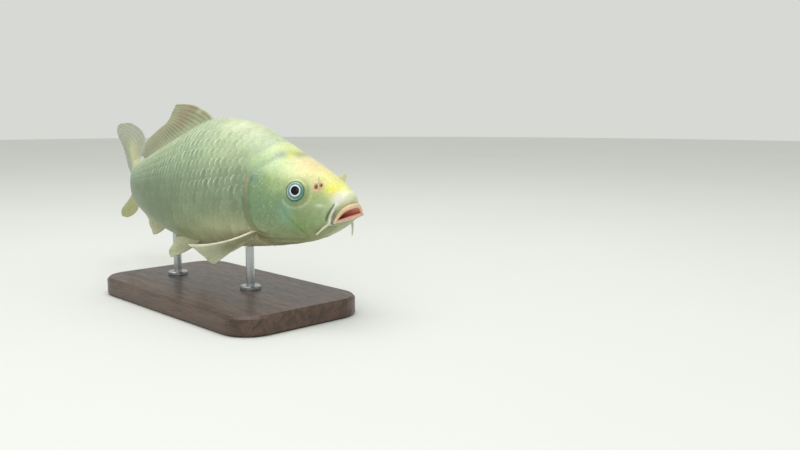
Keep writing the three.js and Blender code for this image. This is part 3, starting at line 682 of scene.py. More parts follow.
def grid_faces(rows, columns, wrap=False, start=0, flip=False):
    i, j = np.meshgrid(np.arange(rows - 1), np.arange(columns if wrap else columns - 1), indexing="ij")
    a = (i * columns + j).ravel()
    b = (i * columns + (j + 1) % columns).ravel()
    quads = np.stack([a, b, b + columns, a + columns], -1) + start
    return quads[:, ::-1] if flip else quads


def grid_border(rows, columns):
    """Numbers of the points round the edge of a grid, in order."""
    return np.concatenate([
        np.arange(columns), np.arange(1, rows) * columns + columns - 1,
        (rows - 1) * columns + np.arange(columns - 2, -1, -1), np.arange(rows - 2, 0, -1) * columns,
    ])


def tube_faces(rows, columns, flip=False):
    """Faces of a tube closed by two fans, to the two points that follow those of its grid."""
    ring = np.arange(columns)
    after = (ring + 1) % columns
    last = (rows - 1) * columns
    centre = np.full(columns, rows * columns)
    front = np.stack([after, ring, centre], -1)
    rear = np.stack([ring + last, after + last, centre + 1], -1)
    faces = [grid_faces(rows, columns, True), front, rear]
    return [f[:, ::-1] for f in faces] if flip else faces


def with_ends(data, rows):
    """Values over a tube's grid, with those of its two end points copied from the first and last row."""
    flat = data.reshape(-1, 1 if data.ndim == 2 else data.shape[-1])
    return np.concatenate([flat, flat[[0, len(flat) - len(flat) // rows]]])


def grid_normals(points, wrap):
    """Outward-looking normals of a grid of points whose columns run round the body."""
    down = np.gradient(points, axis=0)
    if wrap:
        across = np.roll(points, -1, axis=1) - np.roll(points, 1, axis=1)
    else:
        across = np.gradient(points, axis=1)
    return unit(np.cross(down, across))


class Shape:
    """Collects points, faces and attributes of several bodies joined in one mesh."""

    def __init__(self):
        self.points, self.faces, self.values, self.count = [], [], {}, 0

    def add(self, points, faces, values):
        self.points.append(points)
        self.faces += [np.asarray(f) + self.count for f in faces]
        for key, data in values.items():
            self.values.setdefault(key, []).append(np.asarray(data).reshape(len(points), -1))
        self.count += len(points)

    def build(self, name, material):
        values = {k: np.concatenate(v) for k, v in self.values.items()}
        values = {k: v[:, 0] if v.shape[1] == 1 else v for k, v in values.items()}
        return make_object(name, to_row(np.concatenate(self.points)), self.faces, material, values)


# ---------------------------------------------------------------- skin
MOUTH_SHARES = (0.06, 0.25, 0.45, 0.62, 0.78)       # key rings from deep in the mouth to the lips
LIP_TURNS = (200, 175, 150, 125, 100, 75, 50, 25, 0, -22)
# Key rings between lips and head: share of the way, and swelling.
SNOUT_SHARES = ((0.07, -0.0030), (0.17, -0.0006), (0.38, 0.0002), (0.70, 0.0004))
# t of the last key rings; from the third on, the rows are read from the body itself.
HEAD_KEYS = (0.045, 0.055, 0.066, 0.078)
SCALES_BY = 0.29                # t by which scales cover the whole skin, where rows can be wider apart
MOUTH_ROWS = 18                 # rows of skin points in the mouth
LIP_ROWS = 96                   # over lips and snout
JOIN_ROWS = 22                  # up to the third head key
HEAD_ROWS = 150
TRUNK_ROWS = 130
LIP_WRINKLES = 46               # round the mouth
LIP_WRINKLE = 0.10              # mm
RED_ROWS = 24                   # rows over which the red deep in the mouth fades out


def skin_rings(v):
    """Key rings of the skin from deep in the mouth, round the lips, to the front of the head."""
    rim, _ = mouth_rim(v)
    deep = np.array([MOUTH_DEPTH[0], 0, MOUTH_DEPTH[1]])
    rings = []
    for share in MOUTH_SHARES:
        ring = deep + (rim - deep) * share
        ring[:, 1] *= 0.92
        rings.append((ring, 1.0, 0.0))
    for turn in LIP_TURNS:
        rings.append((lip_point(v, turn), float(smooth(120, 190, turn)), float(smooth(-25, 10, turn))))
    edge = lip_point(v, LIP_TURNS[-1])
    back = body_point(HEAD_KEYS[0], v)
    forward = unit(np.stack([np.full_like(v, 0.7), np.cos(v), np.sin(v)], -1))
    for share, swell in SNOUT_SHARES:
        full = SNOUT_FULLNESS * np.clip(np.sin(v), 0, 1)**2 * math.sin(math.pi * (1 - share)**1.7)
        rings.append((edge + (back - edge) * share + forward * (full + swell)[:, None], 0.0, 0.0))
    for t in HEAD_KEYS:
        rings.append((body_point(t, v), 0.0, 0.0))
    return rings


def skin_grid():
    v = np.linspace(0, 2 * math.pi, COLUMNS, endpoint=False)
    rings = skin_rings(v)
    keys = np.array([r[0] for r in rings])
    mouth = np.array([r[1] for r in rings])
    lip = np.array([r[2] for r in rings])
    run = np.concatenate([[0], np.cumsum(np.linalg.norm(np.diff(keys, axis=0), axis=-1).mean(-1))])
    lips = run[len(MOUTH_SHARES)]
    snout = run[-len(HEAD_KEYS) - 1]
    at = np.concatenate([
        np.linspace(0, lips, MOUTH_ROWS, endpoint=False),
        np.linspace(lips, snout, LIP_ROWS, endpoint=False),
        np.linspace(snout, run[-2], JOIN_ROWS, endpoint=False),
    ])
    front = curve(run, keys, at)
    ts = np.concatenate([
        np.linspace(HEAD_KEYS[2], SCALES_BY, HEAD_ROWS, endpoint=False),
        np.linspace(SCALES_BY, 1.0, TRUNK_ROWS),
    ])
    body = body_point(ts[:, None], v[None, :])
    points = np.concatenate([front, body])
    mouth = np.concatenate([curve(run, mouth, at), np.zeros(len(ts))])
    lip = np.concatenate([curve(run, lip, at), np.zeros(len(ts))])
    return points, np.clip(mouth, 0, 1), np.clip(lip, 0, 1), v


def add_skin(shape):
    points, mouth, lip, v = skin_grid()
    rows, columns = points.shape[:2]
    normals = grid_normals(points, True)
    rear = points[-TRUNK_ROWS // 2:]
    normals *= np.sign((normals[-TRUNK_ROWS // 2:] * (rear - rear.mean(1, keepdims=True))).sum())
    folded = both_sides(points)
    free = (1 - mouth[:, None]) * (1 - lip[:, None])
    height = relief(folded) * free
    sunk = inset(folded) * (1 - mouth[:, None])
    lines = LIP_WRINKLE * np.cos(v * LIP_WRINKLES)[None, :] * bump(lip[:, None] - 0.8, 0.35)
    skin = points + normals * (height - sunk + lines)[..., None] / LENGTH

    tone = head_details(markings_and_shade(folded), folded)
    inner = smooth(0.02, 0.55, mouth)[:, None] * np.ones(columns)
    upper = (np.sin(v)[None, :] > 0) * np.ones((rows, 1))
    lips = lip[:, None] * np.ones(columns)
    edge_row = np.argmax(np.cumsum(lip) > lip.sum() - 0.01)
    around_lip = bump(np.arange(rows)[:, None] - edge_row - 3, 4) * np.ones(columns)
    tone = toward(tone, "#b5a04e", 0.85 * around_lip * upper)
    tone = toward(tone, "#a39a78", 0.50 * around_lip * (1 - upper))
    tone = toward(tone, "#e2c8a6", 0.92 * lips * upper)
    tone = toward(tone, "#d3b7a4", 0.92 * lips * (1 - upper))
    rolled = np.cumsum(lip)[:, None] / max(lip.sum(), 1)
    tone = toward(tone, "#f0b79c", 0.70 * bump(rolled - 0.30, 0.22) * lips)
    tone = toward(tone, "#f3b29e", 0.92 * inner)
    depth = smooth(0.45, 1.0, 1 - np.arange(rows) / RED_ROWS)[:, None] * np.ones(columns)
    tone = toward(tone, "#d4705c", 0.75 * depth)
    # Painted shade: the skin is darkened where its relief sinks, in the grooves, the eye socket, the nostril
    # pits and the gill cover's steps.
    tone = tone * (1 - 0.25 * np.clip(-height, 0, 1) * free)[..., None]

    t = t_of(folded)
    z = z_of(folded)
    share = height_share(folded)
    mottle = smooth(0.07, 0.12, t) * (1 - smooth(0.24, 0.29, t)) * (1 - smooth(0.62, 0.80, share))
    fleck = bump(t - 0.205, 0.020) * smooth(0.15, 0.30, share) * (1 - smooth(0.72, 0.85, share))
    fleck = np.clip(0.7 * fleck + bump(t - 0.235, 0.022) * bump(z - 0.055, 0.030) + 0.10 * mottle, 0, 1)
    wet = np.clip(inner + lips, 0, 1)
    ends = np.stack([skin[0].mean(0), skin[-1].mean(0)])
    everything = np.concatenate([skin.reshape(-1, 3), ends])
    values = {"straight": as_straight(points), "tone": tone, "mottle": mottle, "fleck": fleck, "wet": wet}
    values = {key: with_ends(data, rows) for key, data in values.items()}
    shape.add(everything, tube_faces(rows, columns), values)


FEELER_ROWS = 44
FEELER_SIDES = 20
FEELER_ROOT = 0.06              # share of its length that a feeler starts below the skin
FEELER_TIP = 0.06               # share of its length over which the tip is rounded off
FEELER_FLARE = 0.9              # mm added to the radius at the root
FEELER_WET = 0.3


def add_feeler(shape, spec, side):
    """Tapered feeler through three points, flared where it grows from the lip."""
    root, pull, tip = [np.array([-p[0], side * p[1], p[2]]) for p in spec[:3]]
    b = np.linspace(-FEELER_ROOT, 1, FEELER_ROWS)[:, None]
    line = (1 - b)**2 * root + 2 * b * (1 - b) * pull + b**2 * tip
    along = unit(np.gradient(line, axis=0))
    u = unit(np.cross([0, 1, 0], along))
    w = np.cross(along, u)
    b = b[:, 0]
    rounding = np.sqrt(np.clip(1 - ((b - 1 + FEELER_TIP) / FEELER_TIP).clip(0, 1)**2, 0.0004, 1))
    radius = (spec[3] + (spec[4] - spec[3]) * b) * rounding
    flare = FEELER_FLARE * bump(b + FEELER_ROOT, 0.10)
    radius = (radius * 0.97 + flare + 0.05 * np.sin(b * 70)) / LENGTH
    v = np.linspace(0, 2 * math.pi, FEELER_SIDES, endpoint=False)
    points = line[:, None] + radius[:, None, None] * (
        np.cos(v)[None, :, None] * u[:, None] + np.sin(v)[None, :, None] * w[:, None])
    rows, columns = points.shape[:2]
    tone = np.broadcast_to(colour("#d9d6bd"), points.shape).copy()
    tone = toward(tone, "#c5bfb2", (0.7 * (1 - b))[:, None] * np.ones(columns))
    everything = np.concatenate([points.reshape(-1, 3), points[[0, -1]].mean(1)])
    nothing = np.zeros(len(everything))
    shape.add(everything, tube_faces(rows, columns, flip=True), {
        "straight": as_straight(everything),
        "tone": with_ends(tone, rows),
        "mottle": nothing,
        "fleck": nothing,
        "wet": nothing + FEELER_WET,
    })


def add_flap(shape, side):
    """Thin rounded flap standing between the nostrils."""
    a, b = np.meshgrid(np.linspace(0, 1, 26), np.linspace(0, 1, 12), indexing="ij")
    turn = math.pi * (0.06 + 0.88 * a)
    along = -0.5 * FLAP_WIDTH * np.cos(turn) * (0.7 + 0.3 * b)
    rise = FLAP_HEIGHT * np.sin(turn)**0.6 * b - 0.006
    curl = 0.0022 * np.sin(b * 2.6) * np.sin(turn)
    middle = np.stack([
        -FLAP[0] + 0.545 * along + 0.25 * rise + 0.8 * curl,
        side * (FLAP[1] + 0.839 * along + 0.30 * rise - 0.4 * curl),
        FLAP[2] + 0.92 * rise,
    ], -1)
    tone = toward(np.broadcast_to(colour("#efe7b4"), middle.shape).copy(), "#cfd6b4", 0.8 * b)
    values = {"mottle": 0 * b, "fleck": 0 * b, "wet": 0 * b + FEELER_WET}
    add_plate(shape, middle, (0.42 - 0.22 * b) * np.sin(turn)**0.3, tone, values)


def add_plate(shape, middle, half, tone, values):
    """Closed plate about a grid of middle points, half its thickness in mm."""
    normals = grid_normals(middle, False)
    rows, columns = middle.shape[:2]
    count = rows * columns
    top = middle + normals * half[..., None] / LENGTH
    under = middle - normals * half[..., None] / LENGTH
    rim = grid_border(rows, columns)
    after = np.roll(rim, -1)
    sides = np.stack([rim, rim + count, after + count, after], -1)
    faces = [grid_faces(rows, columns), grid_faces(rows, columns, start=count, flip=True), sides]
    points = np.concatenate([top.reshape(-1, 3), under.reshape(-1, 3)])
    twice = {key: np.concatenate([data.reshape(count, -1)] * 2) for key, data in values.items()}
    twice["tone"] = np.concatenate([tone.reshape(-1, 3)] * 2)
    twice["straight"] = as_straight(np.concatenate([middle.reshape(-1, 3)] * 2))
    shape.add(points, faces, twice)


# ---------------------------------------------------------------- scales
ROW_T = np.linspace(0.18, 1.0, 110)
ROW_SHARE = np.linspace(0, 1, 41)
# Height z of the lateral line at each t.
LATERAL_LINE = ([0.18, 0.276, 0.36, 0.50, 0.75, 1.0], [0.078, 0.057, 0.040, 0.022, 0.004, -0.004])


def row_table():
    """Angle on the left side for each t and share of the way from belly, by the lateral line, to the back."""
    v = np.linspace(-math.pi / 2, math.pi / 2, 241)
    line_z = curve(*LATERAL_LINE, ROW_T)
    table = np.zeros((2, len(ROW_T), len(ROW_SHARE)))
    for k, t in enumerate(ROW_T):
        ring = body_point(t, v)
        run = np.concatenate([[0], np.cumsum(np.linalg.norm(np.diff(ring, axis=0), axis=-1))])
        at_line = np.interp(line_z[k], ring[:, 2], run)
        table[0, k] = np.interp(at_line * (1 - ROW_SHARE), run, v)
        table[1, k] = np.interp(at_line + (run[-1] - at_line) * ROW_SHARE, run, v)
    return table


ROW_TABLE = row_table()


def read_table(table, t, share):
    """Bilinear reading of a table over ROW_T and ROW_SHARE."""
    i = (np.clip(t, ROW_T[0], ROW_T[-1]) - ROW_T[0]) / (ROW_T[1] - ROW_T[0])
    j = np.clip(share, 0, 1) / (ROW_SHARE[1] - ROW_SHARE[0])
    i0 = np.clip(i.astype(int), 0, len(ROW_T) - 2)
    j0 = np.clip(j.astype(int), 0, len(ROW_SHARE) - 2)
    i, j = i - i0, j - j0
    return (table[i0, j0] * (1 - i) * (1 - j) + table[i0 + 1, j0] * i * (1 - j)
            + table[i0, j0 + 1] * (1 - i) * j + table[i0 + 1, j0 + 1] * i * j)


def row_angle(t, row):
    """Angle of a row on the left side; rows past the back or the belly run on down the other side."""
    over = row > SCALE_ROWS_ABOVE
    under = row < -SCALE_ROWS_BELOW
    row = np.where(over, 2 * SCALE_ROWS_ABOVE - row, np.where(under, -2 * SCALE_ROWS_BELOW - row, row))
    above = read_table(ROW_TABLE[1], t, row / SCALE_ROWS_ABOVE)
    below = read_table(ROW_TABLE[0], t, -row / SCALE_ROWS_BELOW)
    v = np.where(row >= 0, above, below)
    return np.where(over, math.pi - v, np.where(under, -math.pi - v, v))


def pitch_counts(ts):
    """How many scales a row has had by each t."""
    pitch = curve(*SCALE_PITCH, np.clip(ts, SCALE_PITCH[0][0], 1.0))
    return np.concatenate([[0], np.cumsum(np.diff(ts) * LENGTH / pitch[:-1])])


PITCH_T = np.linspace(0.15, 1.1, 400)
PITCH_COUNT = pitch_counts(PITCH_T)

AXIS = (0, 0, 0.03)             # a point inside the body at every t, seen from the front
SCALE_HALF_WIDTH = 0.74         # of a row
SCALE_FRONT = -0.62             # of a pitch, hidden end
SCALE_BACK = 1.0                # of a pitch, free tip
SCALE_ROUNDING = 0.85           # of a pitch, how far the sides of the free edge lie before its tip
SIZE_SPREAD = 0.035             # random differences between scales
SHIFT_SPREAD = 0.045
ROLL_SPREAD = 0.05
LIFT_SPREAD = 0.02
TONE_SPREAD = 0.05
ROOT_LIFT = -0.74               # mm from the solid's surface to the hidden end
TIP_RISE = 0.54                 # mm from there to the free tip
FLAT_LESS = 0.26                # mm less of it on the nape
CUP = 0.12                      # mm that the sides lie lower than the middle
LINE_BEAD = 0.14                # mm, height of the lateral line's beads
SCALE_SHARP = math.radians(60)  # edges sharper than this are shaded as edges
SCALE_THICKNESS = 0.13          # mm at the margin
THICKER_INSIDE = 0.05
FROM_MARGIN = np.array([1.62, 1.22, 0.86, 0.58, 0.37, 0.20, 0.08, 0.0])
ACROSS = np.sin(np.linspace(-math.pi / 2, math.pi / 2, 9))


def scale_template():
    """Local grid of one scale: place along (pitches), across (rows) and distance from the margin."""
    w = ACROSS[None, :] * np.ones((len(FROM_MARGIN), 1))
    margin = SCALE_BACK - SCALE_ROUNDING * np.abs(w)**2.4
    inward = FROM_MARGIN[:, None] / FROM_MARGIN[0] * (margin - SCALE_FRONT)
    return margin - inward, w * SCALE_HALF_WIDTH, inward


def scale_contrast(folded):
    """How strongly the pale margins show: most on the upper flank under the dorsal fin."""
    share = height_share(folded)
    t = t_of(folded)
    under_fin = smooth(0.55, 0.78, share) * smooth(0.36, 0.46, t) * (1 - 0.5 * smooth(0.66, 0.82, t))
    shoulder = 0.60 * smooth(0.42, 0.55, share) * (1 - smooth(0.86, 0.97, share)) * bump(t - 0.36, 0.10)
    from_head = smooth(0.24, 0.31, t + 0.06 * (1 - smooth(0.6, 0.8, share)))
    return (0.10 + np.maximum(under_fin, shoulder)) * from_head


def surface_normals(t, v):
    d = 0.002
    along = body_point(t - d, v) - body_point(t + d, v)
    around = body_point(t, v + d) - body_point(t, v - d)
    return unit(np.cross(along, around))


def scale_sites():
    """Places of one side's scales as pitch count and row, with the rows on the back and on the belly."""
    sites = []
    for row in range(-SCALE_ROWS_BELOW, SCALE_ROWS_ABOVE + 1):
        counts = np.arange(1, PITCH_COUNT[-1]) + 0.5 * (row % 2)
        sites += [(c, row) for c in counts]
    return np.array(sites)


def add_scales(side):
    rng = np.random.default_rng(SEED + (side > 0))
    sites = scale_sites()
    mine = sites[:, 1] > -SCALE_ROWS_BELOW if side > 0 else sites[:, 1] < SCALE_ROWS_ABOVE
    sites = sites[mine]
    tip_t = np.interp(sites[:, 0] + 0.8, PITCH_COUNT, PITCH_T)
    root_v = row_angle(tip_t, sites[:, 1])
    tip = both_sides(body_point(tip_t, root_v))
    keep = (nape_distance(tip) > -1.5) & (tip_t < 1.0)
    sites = sites[keep]
    n = len(sites)
    u, w, inward = scale_template()
    size = 1 + rng.normal(0, SIZE_SPREAD, (n, 1, 1))
    shift = rng.normal(0, SHIFT_SPREAD, (n, 1, 1))
    roll = rng.normal(0, ROLL_SPREAD, (n, 1, 1))
    count = sites[:, 0, None, None] + u * size + shift + roll * w
    row = sites[:, 1, None, None] + w * size
    t = np.interp(count, PITCH_COUNT, PITCH_T)
    v = row_angle(t, row)
    if side < 0:
        v = math.pi - v
    base = body_point(t, v)
    normals = surface_normals(t, v)
    from_axis = (base - AXIS) * [0, 1, 1]
    normals *= np.sign((normals * from_axis).sum(-1, keepdims=True))
    folded = both_sides(base)
    rise = (u - SCALE_FRONT) / (SCALE_BACK - SCALE_FRONT)
    flat = (1 - smooth(0.25, 0.32, t)) * smooth(0.62, 0.80, height_share(folded))
    lift = ROOT_LIFT + (TIP_RISE - FLAT_LESS * flat) * rise - CUP * (w / SCALE_HALF_WIDTH)**2
    lift = lift + rng.normal(0, LIFT_SPREAD, (n, 1, 1))
    lift = lift + LINE_BEAD * bump(w, 0.16) * smooth(0.9, 0.3, inward) * (sites[:, 1] == 0)[:, None, None]
    height = lift + gill_relief(folded, beneath=True)
    top = base + normals * height[..., None] / LENGTH
    thick = SCALE_THICKNESS + THICKER_INSIDE * smooth(0, 0.8, inward)
    under = top - normals * thick[..., None] / LENGTH

    contrast = scale_contrast(folded)
    strength = rng.uniform(0.35, 1.20, (n, 1, 1))
    upper_half = smooth(-0.22, 0.18, w)
    ends = 1 - smooth(0.52, 0.72, np.abs(w))
    edge = contrast * strength * bump(inward - 0.05, 0.15) * (0.06 + 0.94 * upper_half) * ends
    tone = markings_and_shade(folded) * (1 + rng.normal(0, TONE_SPREAD, (n, 1, 1, 1)))
    shade = contrast * strength * smooth(0.16, 0.50, inward) * (0.20 + 0.80 * upper_half)
    tone = tone * (1 - 0.34 * shade[..., None] * np.array([1.0, 0.82, 0.86]))

    rows, columns = u.shape
    grid = rows * columns
    rim = grid_border(rows, columns)
    per = grid + len(rim) + 1
    lower_rim = under.reshape(n, grid, 3)[:, rim]
    points = np.concatenate([top.reshape(n, grid, 3), lower_rim, lower_rim.mean(1, keepdims=True)], 1)

    def per_point(data):
        """Values over the top grid, repeated for the rim beneath and the point in its middle."""
        flat = data.reshape(n, grid, -1)
        return np.concatenate([flat, flat[:, rim], flat[:, :1]], 1).reshape(n * per, -1)


    lower = grid + np.arange(len(rim))
    after = np.roll(rim, -1)
    lower_after = np.roll(lower, -1)
    starts = (np.arange(n) * per)[:, None, None]
    top_faces = (grid_faces(rows, columns)[None] + starts).reshape(-1, 4)
    side_faces = (np.stack([rim, lower, lower_after, after], -1)[None] + starts).reshape(-1, 4)
    fan = np.stack([lower_after, lower, np.full(len(rim), per - 1)], -1)
    under_faces = (fan[None] + starts).reshape(-1, 3)
    faces = [top_faces, side_faces, under_faces]
    first = points[:, :grid].reshape(n, rows, columns, 3)
    facing = np.cross(first[:, 1, 4] - first[:, 0, 4], first[:, 0, 5] - first[:, 0, 3])
    if (facing * normals[:, 0, 4]).sum() > 0:
        faces = [f[:, ::-1] for f in faces]

    name = "scales_left" if side > 0 else "scales_right"
    thing = make_object(name, to_row(points.reshape(-1, 3)), faces, SCALE_MATERIAL, {
        "tone": per_point(tone),
        "straight": per_point(as_straight(base)),
        "edge": per_point(edge).ravel(),
    })
    add_bake_map(thing, sites, u, w, rim, side)
    thing.data.set_sharp_from_angle(angle=SCALE_SHARP)
    return thing


BAKE_PATCH = 0.003              # side of a scale's patch on the map
BAKE_MARGIN = 0.02
BAKE_WIDTH = 0.94
BAKE_HEIGHT = 0.96


def add_bake_map(thing, sites, u, w, rim, side):
    """UV map OFBake: each scale is a small patch at its root's place on the unrolled skin."""
    root_t = np.interp(sites[:, 0], PITCH_COUNT, PITCH_T)
    v = row_angle(root_t, sites[:, 1])
    v = v if side > 0 else math.pi - v
    along = (root_t - PITCH_T[0]) / (PITCH_T[-1] - PITCH_T[0])
    around = np.mod(v + math.pi / 2, 2 * math.pi) / (2 * math.pi)
    place = np.stack([BAKE_MARGIN + BAKE_WIDTH * along, BAKE_MARGIN + BAKE_HEIGHT * around], -1)
    local = np.stack([(u - SCALE_FRONT) / (SCALE_BACK - SCALE_FRONT) - 0.5, w / SCALE_HALF_WIDTH / 2], -1)
    local = local.reshape(-1, 2) * BAKE_PATCH
    local = np.concatenate([local, local[rim], local[:1] * 0])
    uv = (place[:, None] + local[None]).reshape(-1, 2)
    corners = np.empty(len(thing.data.loops), np.int32)
    thing.data.loops.foreach_get("vertex_index", corners)
    layer = thing.data.uv_layers.new(name="OFBake")
    layer.data.foreach_set("uv", uv[corners].astype(np.float32).ravel())


# ---------------------------------------------------------------- fins
def fin_point(rays, a, reach, side=1, lift=0.0):
    places = [ray[0] for ray in rays]
    keys = curve(places, np.array([ray[1:] for ray in rays], float), a * places[-1])
    root, pull, tip = np.moveaxis(keys, -2, 0)
    r = reach[..., None]
    p = (1 - r)**2 * root + 2 * r * (1 - r) * pull + r**2 * tip
    rise = lift * (1 - a**2) * reach
    return np.stack([-p[..., 0], side * p[..., 1], p[..., 2] + rise], -1)


def ray_ridge(x, b, spread):
    """How much a fin ray shows at ray count x: 1 on a ray, 0 on the web; rays part in two toward the edge."""
    off = np.abs(x - np.round(x))
    part = spread * smooth(0.30, 0.95, b)
    inner = np.abs(off - part)
    fine = np.abs(inner - 0.45 * spread * smooth(0.62, 1.0, b))
    width = 0.25 - 0.11 * b
    return np.exp(-(fine / width)**2)


FIN_SHARP = math.radians(70)
RAY_COLUMNS = 11                # grid columns for each fin ray
FIN_ROWS = 54
RAY_FORK = 0.27                 # of the distance between rays, how far a ray's halves part


def add_fin(shape, rays, count, look, side=1, lift=0.0, rounding=0.05, wave=0.7, turn=0.0):
    """Plate with raised rays: a runs along the fin's root, b out to its edge, both from 0 to 1."""
    columns = np.linspace(0, 1, count * RAY_COLUMNS + 1)
    a, b = np.meshgrid(columns, np.linspace(0, 1, FIN_ROWS)**0.9, indexing="ij")
    x = a * count
    spread = np.where(x < 0.5, 0.0, RAY_FORK)
    ridge = ray_ridge(x, b, spread)
    edge = ray_ridge(x, np.ones_like(b), spread)
    first = 1 - smooth(0.3, 0.9, x)
    last = smooth(count - 0.6, count, x)
    tooth = look["tooth"] * (1 - edge) * (1 - first) * (0.6 + 0.4 * np.sin(1.7 * x + turn))
    reach = b * (1 - rounding * np.clip(1 - a / 0.15, 0, None)**2) * (1 - tooth)
    middle = fin_point(rays, a, reach, side, lift)
    normals = grid_normals(middle, False)
    held = np.sin(math.pi * np.clip(a, 0.02, 0.98))
    sway = wave * b**1.6 * np.sin(2 * math.pi * (1.6 * a + 0.35 * b) + turn) * held
    crimp = 0.16 * b * np.cos(2 * math.pi * x) * (1 - first)
    middle = middle + normals * (sway + crimp)[..., None] / LENGTH
    ray = look["ray"] * (1 - 0.62 * b) * (1 + 0.9 * first)
    web = look["web"] * (1 - 0.45 * b)
    rim = np.sqrt(np.clip(1 - np.clip((b - 0.97) / 0.03, 0, 1)**2, 0.02, 1))
    ends = np.sqrt(np.clip(1 - np.clip((0.10 - x) / 0.10, 0, 1)**2, 0.02, 1))
    half = (web + (ray - web) * np.maximum(ridge, 0.9 * first * (x < 0.45))) / 2 * rim * ends
    joints = 0.04 * np.cos(b * look["joints"] * math.pi) * ridge * smooth(0.25, 0.5, b)
    half = half + look["root"] * bump(b, 0.07) + joints * (1 - b)
    tone = np.broadcast_to(colour(look["web_tone"]), middle.shape).copy()
    tone = toward(tone, look["tip_tone"], 0.75 * smooth(0.55, 1.0, b))
    tone = toward(tone, look["ray_tone"], 0.85 * np.clip(ridge + 0.7 * first, 0, 1) * (1 - 0.35 * last))
    # The pale front edge is partly the stout front ray's own pale colour and partly a painted highlight where
    # it catches light from above.
    lead = look["lead"]
    if lead:
        tone = toward(tone, "#fbf7de", 1 - smooth(lead * 0.7, lead * 1.3, a))
    root = markings_and_shade(both_sides(middle))
    mix = (1 - smooth(0.02, 0.20, b))[..., None]
    tone = tone * (1 - 0.8 * mix) + root * 0.8 * mix
    for place, radius, code, strength in look["patches"]:
        d = np.hypot(a - place[0], b - place[1]) / radius
        tone = toward(tone, code, strength * np.exp(-d**2))
    rayed = np.stack([x, b * 30, np.full_like(x, turn)], -1)
    add_plate(shape, middle, half, tone, {"rayed": rayed, "ridge": ridge})


# Thickness in mm of a ray, of the web and added at the root, depth of the teeth on the edge, joints in a ray,
# share of the fin with a pale front edge, colours, and patches: place [a, b], radius, colour and strength.
FIN_LOOK = {
    "tooth": 0.035, "ray": 1.25, "web": 0.55, "root": 0.9, "joints": 70, "lead": 0.0, "patches": (),
    "web_tone": "#878a66", "ray_tone": "#c6c6a0", "tip_tone": "#a9ad90",
}


def look(**changes):
    return {**FIN_LOOK, **changes}


DORSAL_LOOK = look(
    web_tone="#83866a", ray_tone="#b9b997", tip_tone="#8c8f72", tooth=0.055,
    patches=(((0.12, 0.60), 0.16, "#a78d74", 0.60), ((0.02, 0.4), 0.05, "#dcdcb4", 0.5),
             ((0.25, 0.12), 0.24, "#c9ceaa", 0.60), ((0.60, 0.12), 0.24, "#c9ceaa", 0.60)),
)
ANAL_LOOK = look(web_tone="#9a9b72", ray_tone="#c9c99e", tip_tone="#b7b88c")
CAUDAL_UPPER_LOOK = look(
    web_tone="#8d9480", ray_tone="#a9af9a", tip_tone="#98a08c", ray=1.2, tooth=0.03,
    patches=(((0.42, 0.45), 0.20, "#cfcf94", 0.65), ((0.5, 0.12), 0.24, "#d3ce86", 0.75),
             ((0.05, 0.75), 0.16, "#a8a29e", 0.40)),
)
CAUDAL_LOWER_LOOK = look(
    web_tone="#8b9150", ray_tone="#a8aa62", tip_tone="#a3a676", ray=1.2, tooth=0.03,
    patches=(((0.3, 0.3), 0.35, "#a6a74e", 0.55),),
)
PECTORAL_LOOK = look(
    # lead: pale front edge, partly painted highlight from above.
    web_tone="#a3a988", ray_tone="#bfc2a2", tip_tone="#bcc4a8", ray=1.3, tooth=0.05, lead=0.13,
    patches=(((0.55, 0.40), 0.30, "#9b8c66", 0.45), ((0.35, 0.90), 0.20, "#c7cfb4", 0.60)),
)
PELVIC_LOOK = look(
    web_tone="#b2b690", ray_tone="#cdd1ac", tip_tone="#c6cfb0",
    # Painted shadow: the brown patch near the fin's root, where it meets the belly.
    patches=(((0.1, 0.25), 0.22, "#9a8762", 0.50),),
)


# ---------------------------------------------------------------- eyes
PUPIL_AHEAD = 1.3               # mm the pupil sits forward of the middle of the eye
PUPIL_ABOVE = 0.5
EYE_SHARE = 0.985               # size of the seen eye within the solid one
IRIS_DENT = 0.28                # mm that the iris lies below the clear front
EYE_COLUMNS = 96


